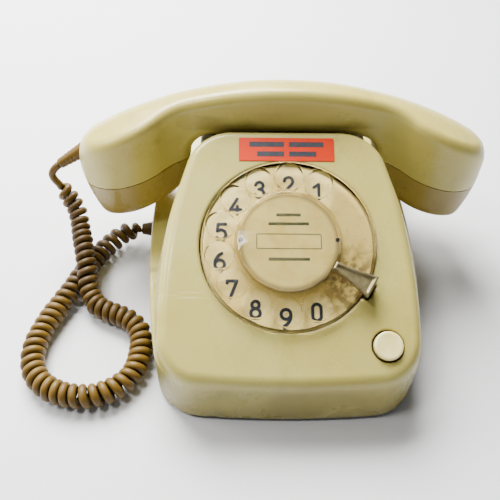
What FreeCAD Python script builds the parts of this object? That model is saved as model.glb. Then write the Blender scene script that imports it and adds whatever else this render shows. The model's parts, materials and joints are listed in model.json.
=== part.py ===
"""Rotary desk telephone: housing, dial, handset, ringer, hook switch and curly handset cord.

Frame: X to the right, Y to the back, Z up, millimetres.  The feet stand on z = 0, and the
origin is below the middle of the telephone.
"""
import FreeCAD, Part
import math
import os

V = FreeCAD.Vector
X_AXIS, Y_AXIS, Z_AXIS = V(1, 0, 0), V(0, 1, 0), V(0, 0, 1)

# ---------------------------------------------------------------- driving dimensions
DEPTH = 200.0                    # front wall to rear wall
WALL = 2.5                       # moulded wall
SKIRT_BOTTOM = 1.6               # lower rim of the housing above the table
LEDGE_Z = 31.0                   # top of the wide lower body
FOLD_Z = 33.5                    # where the front wall folds into the sloping face
FACE_SLOPE = 27.0                # degrees from the table
FACE_LENGTH = 131.4
TROUGH_Z = 84.0                  # floor of the cradle trough
RIDGE_Z = 91.5                   # rear ridge of the cradle
CRADLE_HALF = 46.5               # half width of the cradle block
CRADLE_EDGE = 12.0               # rounding of the trough's two ends
LOWER_HALF = 76.0                # half width of the lower body
FRONT_BOW = 3.6                  # how far the front wall bows forward at its middle
BLOCK_REAR_Y = 21.0              # back of the front block, where the trough starts
FRONT_CORNER = 17.0
TOP_CORNER = 17.0
REAR_CORNER = 20.0

PITCH_R = 34.5                   # circle of finger-hole centres
HOLE_R = 7.07
WHEEL_R = 42.95
WELL_R = 44.2
CAP_R = 25.9
FIRST_HOLE_DEG = 63.0            # digit 1, anticlockwise from +X
HOLE_STEP_DEG = 25.55
STOP_DEG = -31.0
WHEEL_Z = (1.2, 4.0)             # wheel's two faces above the housing face
RING_Z = (-3.6, -2.0)            # digit ring's two faces

BUTTON_AT = (46.6, -50.2)        # across and up the face from the dial centre
BUTTON_R = 6.9

HANDSET_Y = 36.5                 # handle's centre line
HANDSET_HALF = 116.5
HANDSET_TOP = 112.0
HEAD_R = 29.5
HANDLE_HALF_Y = 14.8
SEAM_TILT = 15.0                 # degrees, caps face inwards

COIL_D = 13.0                    # outer diameter of the curly cord
LEAD_D = 5.6                     # straight lead at the handset
TABLE_GAP = 0.3

SLOPE = math.radians(FACE_SLOPE)
FRONT_Y = -DEPTH / 2
REAR_Y = DEPTH / 2
TOP_Z = FOLD_Z + FACE_LENGTH * math.sin(SLOPE)
DIAL_UP = 2.0 * PITCH_R          # dial centre above the fold, along the face
DIAL = V(0, FRONT_Y + DIAL_UP * math.cos(SLOPE), FOLD_Z + DIAL_UP * math.sin(SLOPE))

SHAPES = {}


# ---------------------------------------------------------------- helpers
def box(x0, x1, y0, y1, z0, z1):
    return Part.makeBox(x1 - x0, y1 - y0, z1 - z0, V(x0, y0, z0))


def rod(radius, z0, z1, x=0.0, y=0.0):
    return Part.makeCylinder(radius, z1 - z0, V(x, y, z0), Z_AXIS)


def rod_along(radius, start, direction, length):
    return Part.makeCylinder(radius, length, start, direction)


def ring(outer, inner, z0, z1, x=0.0, y=0.0):
    return rod(outer, z0, z1, x, y).cut(rod(inner, z0 - 1, z1 + 1, x, y))


def line(a, b):
    return Part.LineSegment(V(*a), V(*b)).toShape()


def arc(a, b, c):
    return Part.Arc(V(*a), V(*b), V(*c)).toShape()


def polygon(points):
    return Part.Face(Part.makePolygon([V(*p) for p in points] + [V(*points[0])]))


def on_face(shape):
    """Move a shape from dial coordinates (across, up the slope, outwards) to the telephone."""
    placed = shape.copy()
    frame = FreeCAD.Placement(DIAL, FreeCAD.Rotation(X_AXIS, FACE_SLOPE))
    placed.Placement = frame.multiply(shape.Placement)
    return placed


def polar(radius, degrees):
    angle = math.radians(degrees)
    return radius * math.cos(angle), radius * math.sin(angle)


def hole_centre(index, radius=PITCH_R):
    return polar(radius, FIRST_HOLE_DEG + HOLE_STEP_DEG * index)


def round_edges(shape, radius, wanted):
    """Round the edges that the test function picks, with a smaller radius where that fails."""
    edges = [e for e in shape.Edges if wanted(e)]
    for share in (1.0, 0.6, 0.3):
        try:
            rounded = shape.makeFillet(radius * share, edges)
        except Exception:
            continue
        if rounded.isValid() and 0 < rounded.Volume < 1.02 * shape.Volume:
            return rounded
    print("edges left sharp:", radius, len(edges))
    return shape


def keep(name, *solids):
    shape = solids[0] if len(solids) == 1 else Part.makeCompound(list(solids))
    SHAPES[name] = shape
    return shape


# ---------------------------------------------------------------- housing
def plan_wire(z, side, straight_to, rear_y):
    """Closed outline with sharp corners: bowed front, curved sides, straight rear.

    side is three (half width, y) points from front to back.
    """
    (w0, y0), (w1, y1), (w2, y2) = side
    edges = [arc((-w0, y0, z), (0, FRONT_Y, z), (w0, y0, z)),
             arc((w0, y0, z), (w1, y1, z), (w2, y2, z))]
    if straight_to > y2:
        edges.append(line((w2, y2, z), (w2, straight_to, z)))
    edges.append(line((w2, rear_y, z), (-w2, rear_y, z)))
    if straight_to > y2:
        edges.append(line((-w2, straight_to, z), (-w2, y2, z)))
    edges.append(arc((-w2, y2, z), (-w1, y1, z), (-w0, y0, z)))
    return Part.Wire(edges)


def inset(wire, amount):
    return wire.makeOffset2D(-amount) if amount else wire


def lower_outline(z):
    return plan_wire(z, ((62.5, FRONT_Y + FRONT_BOW), (72.4, -38.0), (LOWER_HALF, 24.0)),
                     REAR_Y, REAR_Y)


def is_corner(edge, y_near, reach=6.0):
    """Upright corner edges whose middle lies near the given y."""
    mid = edge.CenterOfMass
    return edge.BoundBox.ZLength > 1 and abs(mid.y - y_near) < reach and abs(mid.x) > 30


def face_profile(gap):
    """Side view of everything under the face plane, pulled in by gap."""
    n = V(0, -math.sin(SLOPE), math.cos(SLOPE)) * gap
    up = V(0, math.cos(SLOPE), math.sin(SLOPE))
    low = V(0, FRONT_Y, FOLD_Z) - up * 40.0 - n
    high = V(0, FRONT_Y, FOLD_Z) + up * 260.0 - n
    return polygon([(-90, low.y, -10), (-90, low.y, low.z), (-90, high.y, high.z),
                    (-90, high.y, -10)]).extrude(V(180, 0, 0))


def leaning_sides(z, gap):
    """Outline at height z whose two long sides are the leaning sides of the front block."""
    rise = z - LEDGE_Z
    rear_y = BLOCK_REAR_Y - gap
    front = (51.4 - 0.04 * rise - gap, -150.0)
    middle = (68.0 - 0.22 * rise - gap, -50.0)
    rear = (73.0 - 0.43 * rise - gap, rear_y)
    edges = [line((-front[0], front[1], z), (front[0], front[1], z)),
             arc((*front, z), (*middle, z), (*rear, z)),
             line((rear[0], rear_y, z), (-rear[0], rear_y, z)),
             arc((-rear[0], rear_y, z), (-middle[0], middle[1], z), (-front[0], front[1], z))]
    return Part.Wire(edges)


def front_prism(gap):
    """Upright prism with the bowed front wall and its two rounded corners."""
    r = FRONT_CORNER
    cx, cy = 47.4, FRONT_Y + 1.9 + r
    a, b = polar(r, -85.3), polar(r, -9.6)
    m = polar(r, -47.0)
    start, mid, end = [(cx + p[0], cy + p[1]) for p in (a, m, b)]
    edges = [arc((-start[0], start[1], 0), (0, FRONT_Y, 0), (start[0], start[1], 0))]
    for s in (1, -1):
        edges += [arc((s * start[0], start[1], 0), (s * mid[0], mid[1], 0), (s * end[0], end[1], 0)),
                  line((s * end[0], end[1], 0), (s * 88.0, -20.0, 0)),
                  line((s * 88.0, -20.0, 0), (s * 88.0, 60.0, 0))]
    edges.append(line((88.0, 60.0, 0), (-88.0, 60.0, 0)))
    outline = Part.Wire(Part.__sortEdges__(edges))
    return Part.Face(inset(outline, gap)).extrude(V(0, 0, 120))


def front_block(gap):
    """Sloping block that carries the dial, open below."""
    body = Part.makeLoft([leaning_sides(LEDGE_Z - 6.0, gap), leaning_sides(TOP_Z + 8.0, gap)],
                         True, True)
    body = body.common(front_prism(gap)).common(top_corner_prism(gap))
    body = body.common(face_profile(gap))
    if not gap:
        body = round_edges(body, 4.0, is_face_rim)
    return body


def is_face_rim(edge):
    """Edges around the sloping face."""
    point = edge.valueAt((edge.FirstParameter + edge.LastParameter) / 2)
    return abs(point.z - face_z(point.y)) < 0.2


def top_corner_prism(gap):
    """Everything inside the rounded upper corners of the face, square to the face."""
    r, top = TOP_CORNER, FACE_LENGTH - DIAL_UP
    cx, lean = 33.9, math.radians(12.4)
    tx, ty = cx + r * math.cos(lean), top - r + r * math.sin(lean)
    mx, my = polar(r, 45.0 + FACE_SLOPE / 4)
    low = -80.0
    edges = [line((cx, top, low), (-cx, top, low))]
    for s in (1, -1):
        edges += [arc((s * cx, top, low), (s * (cx + mx), top - r + my, low), (s * tx, ty, low)),
                  line((s * tx, ty, low), (s * 66.0, -5.0, low)),
                  line((s * 66.0, -5.0, low), (s * 90.0, -60.0, low)),
                  line((s * 90.0, -60.0, low), (s * 90.0, -160.0, low))]
    edges.append(line((90.0, -160.0, low), (-90.0, -160.0, low)))
    outline = Part.Wire(Part.__sortEdges__(edges))
    return on_face(Part.Face(inset(outline, gap)).extrude(V(0, 0, 120)))


def rounded_beam(half, top, radius, y0, y1):
    """Bar along Y, flat below, with its two upper edges rounded."""
    k = radius * (1 - math.sqrt(0.5))
    outline = [line((-half, y0, 20), (half, y0, 20)),
               line((half, y0, 20), (half, y0, top - radius)),
               arc((half, y0, top - radius), (half - k, y0, top - k), (half - radius, y0, top)),
               line((half - radius, y0, top), (radius - half, y0, top)),
               arc((radius - half, y0, top), (k - half, y0, top - k), (-half, y0, top - radius)),
               line((-half, y0, top - radius), (-half, y0, 20))]
    return Part.Face(Part.Wire(outline)).extrude(V(0, y1 - y0, 0))


def cradle_block(gap):
    """Trough for the handle, with a ridge and a sloping back behind it."""
    half = CRADLE_HALF - gap
    floor = rounded_beam(half, TROUGH_Z - gap, CRADLE_EDGE - gap, -20.0, 62.0)
    ridge = rounded_beam(half, RIDGE_Z - gap, CRADLE_EDGE + 2 - gap, 53.4 + gap, REAR_Y)
    back = polygon([(-90, 0, 0), (-90, 0, 120), (-90, 64.0 - gap, 120),
                    (-90, 64.0 - gap, RIDGE_Z + 0.1), (-90, REAR_Y - 5.0 - gap, 47.0),
                    (-90, REAR_Y - 1.5 - gap, 20), (-90, REAR_Y - 1.5 - gap, 0)])
    ridge = ridge.common(back.extrude(V(180, 0, 0)))
    if not gap:
        ridge = round_edges(ridge, 2.0, is_ridge_edge)
    return floor.fuse(ridge).common(face_profile(gap))


def is_ridge_edge(edge):
    mid = edge.CenterOfMass
    return mid.z > RIDGE_Z - 8.0 and mid.y < 66.0 and edge.BoundBox.XLength > 2.0


def face_z(y):
    return FOLD_Z + (y - FRONT_Y) * math.tan(SLOPE)


def is_ledge_rim(edge):
    mid = edge.CenterOfMass
    return abs(mid.z - LEDGE_Z) < 0.01 and mid.y > -80


def lower_prism(gap, z0, z1):
    """Upright prism on the lower outline, with its four corners rounded."""
    body = Part.Face(inset(lower_outline(z0), gap)).extrude(V(0, 0, z1 - z0))
    body = round_edges(body, FRONT_CORNER - gap, lambda e: is_corner(e, FRONT_Y + FRONT_BOW))
    return round_edges(body, REAR_CORNER - gap, lambda e: is_corner(e, REAR_Y))


def lower_body(gap):
    return lower_prism(gap, 0, LEDGE_Z - gap)


GRIP = (-36.0, 36.0, 70.0, 58.0, 80.0)      # x, x, deep end y, z, z


def grip_recess(grow):
    x0, x1, y0, z0, z1 = GRIP
    pocket = box(x0 - grow, x1 + grow, y0 - grow, REAR_Y + 20, z0 - grow, z1 + grow)
    return round_edges(pocket, 6.0 + grow, lambda e: e.BoundBox.YLength > 20)


POSTS = ((-60.0, -62.0), (60.0, -62.0), (-62.0, 62.0), (62.0, 62.0))
GLAND_AT = V(-75.4, 26.0, 10.5)
INLET_AT = V(30.0, REAR_Y, 12.0)
PLUNGER_X = 26.0
PLUNGER_R = 3.4


def make_housing():
    lower = round_edges(lower_body(0), 1.2, is_ledge_rim)
    outer = lower.fuse([front_block(0), cradle_block(0)]).removeSplitter()
    outer = outer.cut(box(-120, 120, -120, 120, -5, SKIRT_BOTTOM))
    inner = lower_body(WALL).fuse([front_block(WALL), cradle_block(WALL)])
    inner = inner.fuse(lower_prism(WALL, -8, 8))
    inner = inner.cut(grip_recess(WALL))
    shell = outer.cut(grip_recess(0)).cut(inner)
    for x, y in POSTS:
        post = rod(4.2, 4.4, 60.0, x, y).common(outer)
        shell = shell.fuse(post).cut(rod(1.3, 4.0, 22, x, y))
    shell = shell.cut(on_face(rod(WELL_R, -12, 8)))
    shell = shell.cut(on_face(finger_stop_notch()))
    bx, bu = BUTTON_AT
    shell = shell.cut(on_face(rod(BUTTON_R + 0.8, -8, 8, bx, bu)))
    shell = shell.cut(rod_along(5.05, GLAND_AT + V(12, 0, 0), V(-1, 0, 0), 30))
    shell = shell.cut(rod_along(5.05, INLET_AT + V(0, -12, 0), Y_AXIS, 30))
    for side in (-1, 1):
        shell = shell.cut(rod(PLUNGER_R + 0.35, 70, 100, side * PLUNGER_X, HANDSET_Y))
    return keep("housing_shell", shell)


def finger_stop_notch():
    x, y = polar(WELL_R, STOP_DEG)
    notch = box(-4.0, 3.4, -4.6, 4.6, -12, 8)
    notch.rotate(V(0, 0, 0), Z_AXIS, STOP_DEG)
    notch.translate(V(x, y, 0))
    return notch


def make_base():
    plate = lower_prism(WALL + 0.4, 2.0, 4.0)
    for x, y in POSTS:
        plate = plate.cut(rod(1.5, 0, 6, x, y))
    plate = plate.cut(volume_slot())
    for x in range(-40, 41, 16):
        plate = plate.cut(box(x - 2, x + 2, 74, 90, 0, 6))
    for x, y in BOARD_POSTS:
        plate = plate.fuse(rod(3.0, 3.9, 8.9, x, y).fuse(rod(1.3, 8.8, 11.6, x, y)))
    x, y = VOLUME_AT
    for side in (-1, 1):
        plate = plate.fuse(box(x - 3.0, x + 3.0, *sorted((y + side * 3.2, y + side * 5.0)), 3.9, 13.4))
    plate = plate.fuse(rod_along(1.5, V(x, y - 4.8, 10.8), Y_AXIS, 9.6))
    keep("base_plate", plate)
    screws = []
    for x, y in POSTS:
        shank = rod(1.25, 2.0, 16.0, x, y)
        head = rod(2.8, 0.8, 1.9, x, y).cut(box(x - 2.2, x + 2.2, y - 0.4, y + 0.4, 0.7, 1.3))
        screws.append(head.fuse(rod(1.25, 1.8, 2.2, x, y)).fuse(shank))
    keep("base_screws", *screws)
    feet = []
    for x, y in FOOT_AT:
        foot = Part.makeCone(6.6, 7.2, 1.9, V(x, y, 0), Z_AXIS)
        feet.append(foot.cut(rod(2.2, -1, 1.0, x, y)))
    keep("rubber_feet", *feet)


FOOT_AT = ((-48.0, -84.0), (48.0, -84.0), (-50.0, 84.0), (50.0, 84.0))
VOLUME_AT = (47.0, 24.0)
BOARD_POSTS = ((-46.0, -80.0), (30.0, -80.0), (-46.0, -44.0), (30.0, -44.0))


def volume_slot():
    x, y = VOLUME_AT
    return box(x - 11.0, x + 11.0, y - 2.4, y + 2.4, 0, 6)


def make_sticker():
    half_w, low, high = 24.8, 44.6, 57.8
    keep("sticker_label", on_face(box(-half_w, half_w, low, high, 0.02, 0.32)))


# ---------------------------------------------------------------- dial
SHAFT_R = 2.5
PLATE_Z = (-7.0, -5.4)           # front plate of the dial works
BRIDGE_Z = (-25.0, -23.4)        # rear plate of the dial works
GEAR_MODULE = 0.7
MAIN_TEETH, PINION_TEETH = 48, 16
SECOND_TEETH, GOVERNOR_TEETH = 36, 12
FIRST_AXIS_DEG = 200.0
SECOND_AXIS_DEG = 250.0


def gear(teeth, z0, z1, turn=0.0):
    """Spur gear with straight-sided teeth and generous backlash."""
    tip = GEAR_MODULE * (teeth / 2 + 0.75)
    root = GEAR_MODULE * (teeth / 2 - 1.15)
    step = 360.0 / teeth
    points = []
    for i in range(teeth):
        for radius, part in ((root, -0.25), (tip, -0.10), (tip, 0.10), (root, 0.25)):
            x, y = polar(radius, turn + step * (i + part))
            points.append((x, y, z0))
    return polygon(points).extrude(V(0, 0, z1 - z0))


def moved(shape, x, y):
    shape.translate(V(x, y, 0))
    return shape


def gear_centres():
    first = polar(GEAR_MODULE * (MAIN_TEETH + PINION_TEETH) / 2, FIRST_AXIS_DEG)
    dx, dy = polar(GEAR_MODULE * (SECOND_TEETH + GOVERNOR_TEETH) / 2, SECOND_AXIS_DEG)
    return first, (first[0] + dx, first[1] + dy)


def mesh_turn(teeth, axis_deg, driver_turn, driver_teeth):
    """Turn that puts a gap of the driven gear on the driver's tooth at the line of centres."""
    driver_phase = (axis_deg - driver_turn) * driver_teeth / 360.0
    step = 360.0 / teeth
    return axis_deg + 180.0 + step * (0.5 + driver_phase)


def make_number_ring():
    plate = ring(WELL_R - 0.4, 12.0, *RING_Z)
    x, y = polar(WELL_R, STOP_DEG)
    notch = box(-7.0, 4.0, -4.9, 4.9, -8, 2)
    notch.rotate(V(0, 0, 0), Z_AXIS, STOP_DEG)
    notch.translate(V(x, y, 0))
    keep("dial_number_ring", on_face(plate.cut(notch)))


DIGIT_HEIGHT = 8.2
DIGIT_STROKE = 1.55
DIGIT_DROP = 2.0                 # digits sit low in the holes, centred for a seated reader


def digit_strokes():
    """Each digit as open strokes of straight lines (two points) and arcs (three points)."""
    return {
        "1": [[((-0.22, 0.28), (0.08, 0.5)), ((0.08, 0.5), (0.08, -0.5))]],
        "2": [[((-0.27, 0.24), (0.0, 0.5), (0.27, 0.22)), ((0.27, 0.22), (0.2, 0.02), (0.04, -0.14)),
               ((0.04, -0.14), (-0.3, -0.5))], [((-0.3, -0.5), (0.32, -0.5))]],
        "3": [[((-0.25, 0.32), (0.24, 0.26), (-0.04, 0.04))],
              [((-0.04, 0.04), (0.29, -0.22), (-0.28, -0.3))]],
        "4": [[((0.1, 0.5), (-0.32, -0.2)), ((-0.32, -0.2), (0.34, -0.2))],
              [((0.12, 0.02), (0.12, -0.5))]],
        "5": [[((0.27, 0.5), (-0.2, 0.5)), ((-0.2, 0.5), (-0.24, 0.06))],
              [((-0.24, 0.06), (0.3, -0.17), (-0.29, -0.36))]],
        "6": [[((0.12, 0.5), (-0.2, 0.2), (-0.29, -0.2))],
              [((-0.29, -0.2), (0.0, 0.09), (0.29, -0.2)), ((0.29, -0.2), (0.0, -0.5), (-0.29, -0.2))]],
        "7": [[((-0.28, 0.36), (-0.28, 0.5)), ((-0.28, 0.5), (0.3, 0.5)), ((0.3, 0.5), (-0.08, -0.5))]],
        "8": [[((-0.22, 0.27), (0.0, 0.5), (0.22, 0.27)), ((0.22, 0.27), (0.0, 0.05), (-0.22, 0.27))],
              [((-0.28, -0.22), (0.0, 0.05), (0.28, -0.22)), ((0.28, -0.22), (0.0, -0.5), (-0.28, -0.22))]],
        "9": [[((-0.12, -0.5), (0.2, -0.2), (0.29, 0.2))],
              [((-0.29, 0.2), (0.0, 0.5), (0.29, 0.2)), ((0.29, 0.2), (0.0, -0.09), (-0.29, 0.2))]],
        "0": [[((-0.25, 0.18), (0.0, 0.5), (0.25, 0.18)), ((0.25, 0.18), (0.25, -0.18)),
               ((0.25, -0.18), (0.0, -0.5), (-0.25, -0.18)), ((-0.25, -0.18), (-0.25, 0.18))]],
    }


def stroke_points(piece, steps=7):
    """Points along one line or arc of a digit."""
    if len(piece) == 2:
        return [V(*piece[0], 0), V(*piece[1], 0)]
    edge = arc(*[(x, y, 0) for x, y in piece])
    return edge.discretize(steps)


def digit_solid(strokes, z0, z1):
    """One digit: short bars with round ends along its strokes, fused to one flat solid."""
    bars = []
    for stroke in strokes:
        for piece in stroke:
            points = [p * DIGIT_HEIGHT for p in stroke_points(piece)]
            for a, b in zip(points, points[1:]):
                bars.append(bar_between(a, b, z0, z1))
            bars += [rod(DIGIT_STROKE / 2, z0, z1, p.x, p.y) for p in points]
    return bars[0].fuse(bars[1:]).removeSplitter()


def bar_between(a, b, z0, z1):
    length = (b - a).Length
    bar = box(0, length, -DIGIT_STROKE / 2, DIGIT_STROKE / 2, z0, z1)
    bar.rotate(V(0, 0, 0), Z_AXIS, math.degrees(math.atan2(b.y - a.y, b.x - a.x)))
    bar.translate(V(a.x, a.y, 0))
    return bar


def make_digits():
    z0 = RING_Z[1] + 0.02
    solids = []
    for index, name in enumerate("1234567890"):
        digit = digit_solid(digit_strokes()[name], z0, z0 + 0.2)
        x, y = hole_centre(index)
        solids.append(on_face(moved(digit, x, y - DIGIT_DROP)))
    keep("dial_digits", *solids)


def make_finger_wheel():
    wheel = ring(WHEEL_R, 4.2, *WHEEL_Z)
    wheel = round_edges(wheel, 0.9, lambda e: abs(e.Curve.Radius - WHEEL_R) < 0.01
                        if hasattr(e.Curve, "Radius") else False)
    for index in range(10):
        x, y = hole_centre(index)
        wheel = wheel.fuse(ring(HOLE_R + 1.1, HOLE_R, WHEEL_Z[0], WHEEL_Z[1] + 0.5, x, y))
        wheel = wheel.cut(rod(HOLE_R, -5, 8, x, y))
    keep("finger_wheel", on_face(wheel))


def make_cap():
    """Clear domed cap over the number card."""
    low, edge, crown = WHEEL_Z[1] + 0.1, WHEEL_Z[1] + 1.9, WHEEL_Z[1] + 4.6
    rise = crown - edge
    ball_r = (CAP_R ** 2 + rise ** 2) / (2 * rise)
    dome = Part.makeSphere(ball_r, V(0, 0, crown - ball_r)).common(rod(CAP_R, edge - 1, crown + 1))
    solid = rod(CAP_R, low, edge - 0.9).fuse(dome)
    hollow = rod(CAP_R - 1.2, low - 1, edge - 1.6)
    inner = Part.makeSphere(ball_r, V(0, 0, crown - ball_r - 1.4))
    hollow = hollow.fuse(inner.common(rod(CAP_R - 1.2, edge - 2, crown)))
    cap = solid.cut(hollow)
    for side in (-1, 1):
        cap = cap.cut(rod(0.8, edge - 3, crown + 1, side * (CAP_R - 2.0), 0))
    keep("dial_cap", on_face(cap))
    keep("number_card", on_face(rod(CAP_R - 1.6, low + 0.1, low + 0.4)))
    keep("card_retainer", on_face(rod(9.0, WHEEL_Z[0] - 1.0, WHEEL_Z[0] - 0.1).fuse(
        rod(4.1, WHEEL_Z[0] - 1.0, low)).cut(rod(SHAFT_R + 0.02, -5, 3.3))))


def make_finger_stop():
    """Bent metal arm: foot in the notch, then over the wheel to the edge of the cap."""
    reach_in, reach_out = CAP_R - 1.0, WELL_R + 1.6
    low, high = WHEEL_Z[1] + 2.6, WHEEL_Z[1] + 6.4
    tip, middle, wide = 1.9, 3.7, 5.7
    outline = Part.Wire([line((reach_in, -tip, low), (reach_in, tip, low)),
                         arc((reach_in, tip, low), (35, middle, low), (reach_out, wide, low)),
                         line((reach_out, wide, low), (reach_out, -wide, low)),
                         arc((reach_out, -wide, low), (35, -middle, low), (reach_in, -tip, low))])
    arm = Part.Face(outline).extrude(V(0, 0, high - low))
    hollow = arm.common(box(reach_in + 1.0, reach_out - 1.4, -1.9, 1.9, low + 1.2, high + 1))
    foot = box(reach_out - 1.2, reach_out, -3.4, 3.4, -9.0, high)
    stop = arm.cut(hollow).fuse(foot).removeSplitter()
    stop.rotate(V(0, 0, 0), Z_AXIS, STOP_DEG)
    keep("finger_stop", on_face(stop))


def make_dial_works():
    first, second = gear_centres()
    plate = rod(WELL_R - 3.0, *PLATE_Z)
    rim = ring(WELL_R - 0.4, WELL_R - 3.0, PLATE_Z[0], RING_Z[0] - 0.1)
    plate = plate.fuse(rim)
    notch = box(WELL_R - 4.0, WELL_R + 1, -5, 5, -12, 0)
    notch.rotate(V(0, 0, 0), Z_AXIS, STOP_DEG)
    plate = plate.cut(notch).cut(rod(SHAFT_R + 0.05, -12, 0))
    plate = plate.cut(rod(1.25, -12, 0, *first)).cut(rod(1.25, -12, 0, *second))
    pillars = [polar(31.0, a) for a in PILLAR_DEG]
    for x, y in pillars:
        plate = plate.cut(rod(1.3, -12, 0, x, y))
    keep("dial_front_plate", on_face(plate))

    bridge = rod(39.5, *BRIDGE_Z).cut(rod(SHAFT_R + 0.05, -30, -20))
    bridge = bridge.cut(rod(1.25, -30, -20, *first)).cut(rod(1.25, -30, -20, *second))
    for x, y in pillars:
        bridge = bridge.fuse(rod(2.2, BRIDGE_Z[1] - 0.1, PLATE_Z[0] - 0.02, x, y))
        bridge = bridge.fuse(rod(1.25, BRIDGE_Z[0], PLATE_Z[1] + 0.4, x, y))
    keep("dial_rear_plate", on_face(bridge))

    keep("dial_shaft", on_face(rod(SHAFT_R, BRIDGE_Z[0] - 2.0, WHEEL_Z[1] - 0.8)))
    main_z = (-11.5, -9.5)
    main = gear(MAIN_TEETH, *main_z).cut(rod(SHAFT_R - 0.01, -20, 0))
    for k in range(5):
        main = main.cut(rod(3.0, -20, 0, *polar(10.0, 72 * k)))
    ratchet = gear(20, -13.6, -11.4, 4.0).cut(rod(SHAFT_R - 0.01, -20, 0))
    keep("main_gear", on_face(main.fuse(ratchet)))
    keep("return_spring", on_face(spiral_spring(-22.0, -16.0)))

    pinion_turn = mesh_turn(PINION_TEETH, FIRST_AXIS_DEG, 0.0, MAIN_TEETH)
    second_z = (-18.6, -16.8)
    arbor = rod(1.2, BRIDGE_Z[0] - 0.4, PLATE_Z[1] - 0.2).fuse(
        gear(PINION_TEETH, main_z[0] - 0.4, main_z[1] + 0.4, pinion_turn))
    wheel = gear(SECOND_TEETH, *second_z)
    keep("intermediate_gear", on_face(moved(arbor.fuse(wheel), *first)))
    cam = rod(5.0, -21.6, -19.6).cut(rod(1.19, -30, 0))
    cam = cam.cut(box(3.6, 8, -8, 8, -30, 0)).cut(box(-8, -3.6, -8, 8, -30, 0))
    keep("pulse_cam", on_face(moved(cam, *first)))

    governor_turn = mesh_turn(GOVERNOR_TEETH, SECOND_AXIS_DEG, 0.0, SECOND_TEETH)
    shaft = rod(1.2, BRIDGE_Z[0] - 0.4, PLATE_Z[1] - 0.2).fuse(
        gear(GOVERNOR_TEETH, second_z[0] - 0.4, second_z[1] + 0.4, governor_turn))
    keep("governor_shaft", on_face(moved(shaft, *second)))
    weights = []
    for side in (0, 180):
        shoe = ring(5.4, 3.4, -14.0, -10.0).cut(box(-2.0, 8, -8, 8, -20, 0))
        shoe = shoe.fuse(box(-4.4, -0.9, -0.8, 0.8, -12.6, -11.6)).cut(rod(1.19, -20, 0))
        shoe.rotate(V(0, 0, 0), Z_AXIS, side)
        weights.append(on_face(moved(shoe, *second)))
    keep("governor_weights", *weights)
    cup = ring(7.4, 6.0, -15.0, PLATE_Z[0])
    keep("governor_cup", on_face(moved(cup, *second)))

    blades = []
    for k in range(3):
        y = first[1] - 6.2 - 1.4 * k
        blades.append(on_face(box(first[0] - 3, first[0] + 13, y - 0.2, y + 0.2, -21.8, -19.6)))
    stack = box(first[0] + 12.6, first[0] + 17, first[1] - 10.4, first[1] - 4.6, -23.2, -17.6)
    keep("pulse_contacts", on_face(stack).fuse(blades))


PILLAR_DEG = (35.0, 130.0, 300.0)


def spiral_spring(z0, z1):
    """Flat return spring of three turns, drawn as thin joined rings."""
    rings = [ring(r + 0.25, r - 0.25, z0, z1) for r in (4.4, 6.2, 8.0)]
    joins = [box(r, r + 1.8, -0.3, 0.3, z0, z1) for r in (4.4, 6.2)]
    joins.append(box(SHAFT_R + 0.4, 4.4, -0.3, 0.3, z0, z1))
    return rings[0].fuse(rings[1:] + joins)


# ---------------------------------------------------------------- push button
def make_button():
    x, y = BUTTON_AT
    cap = rod(BUTTON_R, -7.0, 2.4, x, y)
    cap = round_edges(cap, 0.9, lambda e: abs(e.CenterOfMass.z - 2.4) < 0.01)
    stem = rod(2.4, -16.0, -7.0, x, y)
    keep("push_button", on_face(cap.fuse(stem)))
    guide = ring(BUTTON_R + 2.4, BUTTON_R + 0.4, -13.0, -3.4, x, y)
    guide = guide.fuse(ring(BUTTON_R + 2.4, 2.8, -14.4, -12.8, x, y))
    guide = guide.fuse(box(x - 6, x - 4.6, y - 4, y + 4, -20, -14.0))
    block = box(x - 6, x + 6, y - 4, y + 4, -25.0, -19.4)
    keep("button_guide", on_face(guide.fuse(block)))
    coil = [ring(4.6, 3.4, z, z + 0.5, x, y) for z in (-12.4, -11.0, -9.6)]
    posts = [box(x + 3.4, x + 4.6, y - 0.5, y + 0.5, -12.4, -9.1)]
    keep("button_spring", on_face(coil[0].fuse(coil[1:] + posts)))


# ---------------------------------------------------------------- handset
def handset_plan(z, extra=0.0):
    """Plan outline: two round heads joined to the handle by concave necks."""
    head_r, half = HEAD_R + extra, HANDLE_HALF_Y + extra
    head_x = HANDSET_HALF - HEAD_R
    neck_r = 25.0
    reach = math.sqrt((head_r + neck_r) ** 2 - (half + neck_r) ** 2)
    neck_x = head_x - reach
    share = head_r / (head_r + neck_r)
    tx, ty = head_x - reach * share, (half + neck_r) * share
    turn = math.atan2(reach, half + neck_r) / 2
    mx, my = neck_x + neck_r * math.sin(turn), half + neck_r - neck_r * math.cos(turn)

    def p(x, y):
        return (x, HANDSET_Y + y, z)

    edges = []
    for s in (1, -1):
        edges += [line(p(-s * neck_x, -s * half), p(s * neck_x, -s * half)),
                  arc(p(s * neck_x, -s * half), p(s * mx, -s * my), p(s * tx, -s * ty)),
                  arc(p(s * tx, -s * ty), p(s * (head_x + head_r), 0), p(s * tx, s * ty)),
                  arc(p(s * tx, s * ty), p(s * mx, s * my), p(s * neck_x, s * half))]
    return Part.Wire(edges)


SEAM_OUT = (HANDSET_HALF, 53.2)
SEAM_IN = (56.0, 53.2 + (HANDSET_HALF - 56.0) * math.tan(math.radians(SEAM_TILT)))


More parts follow.
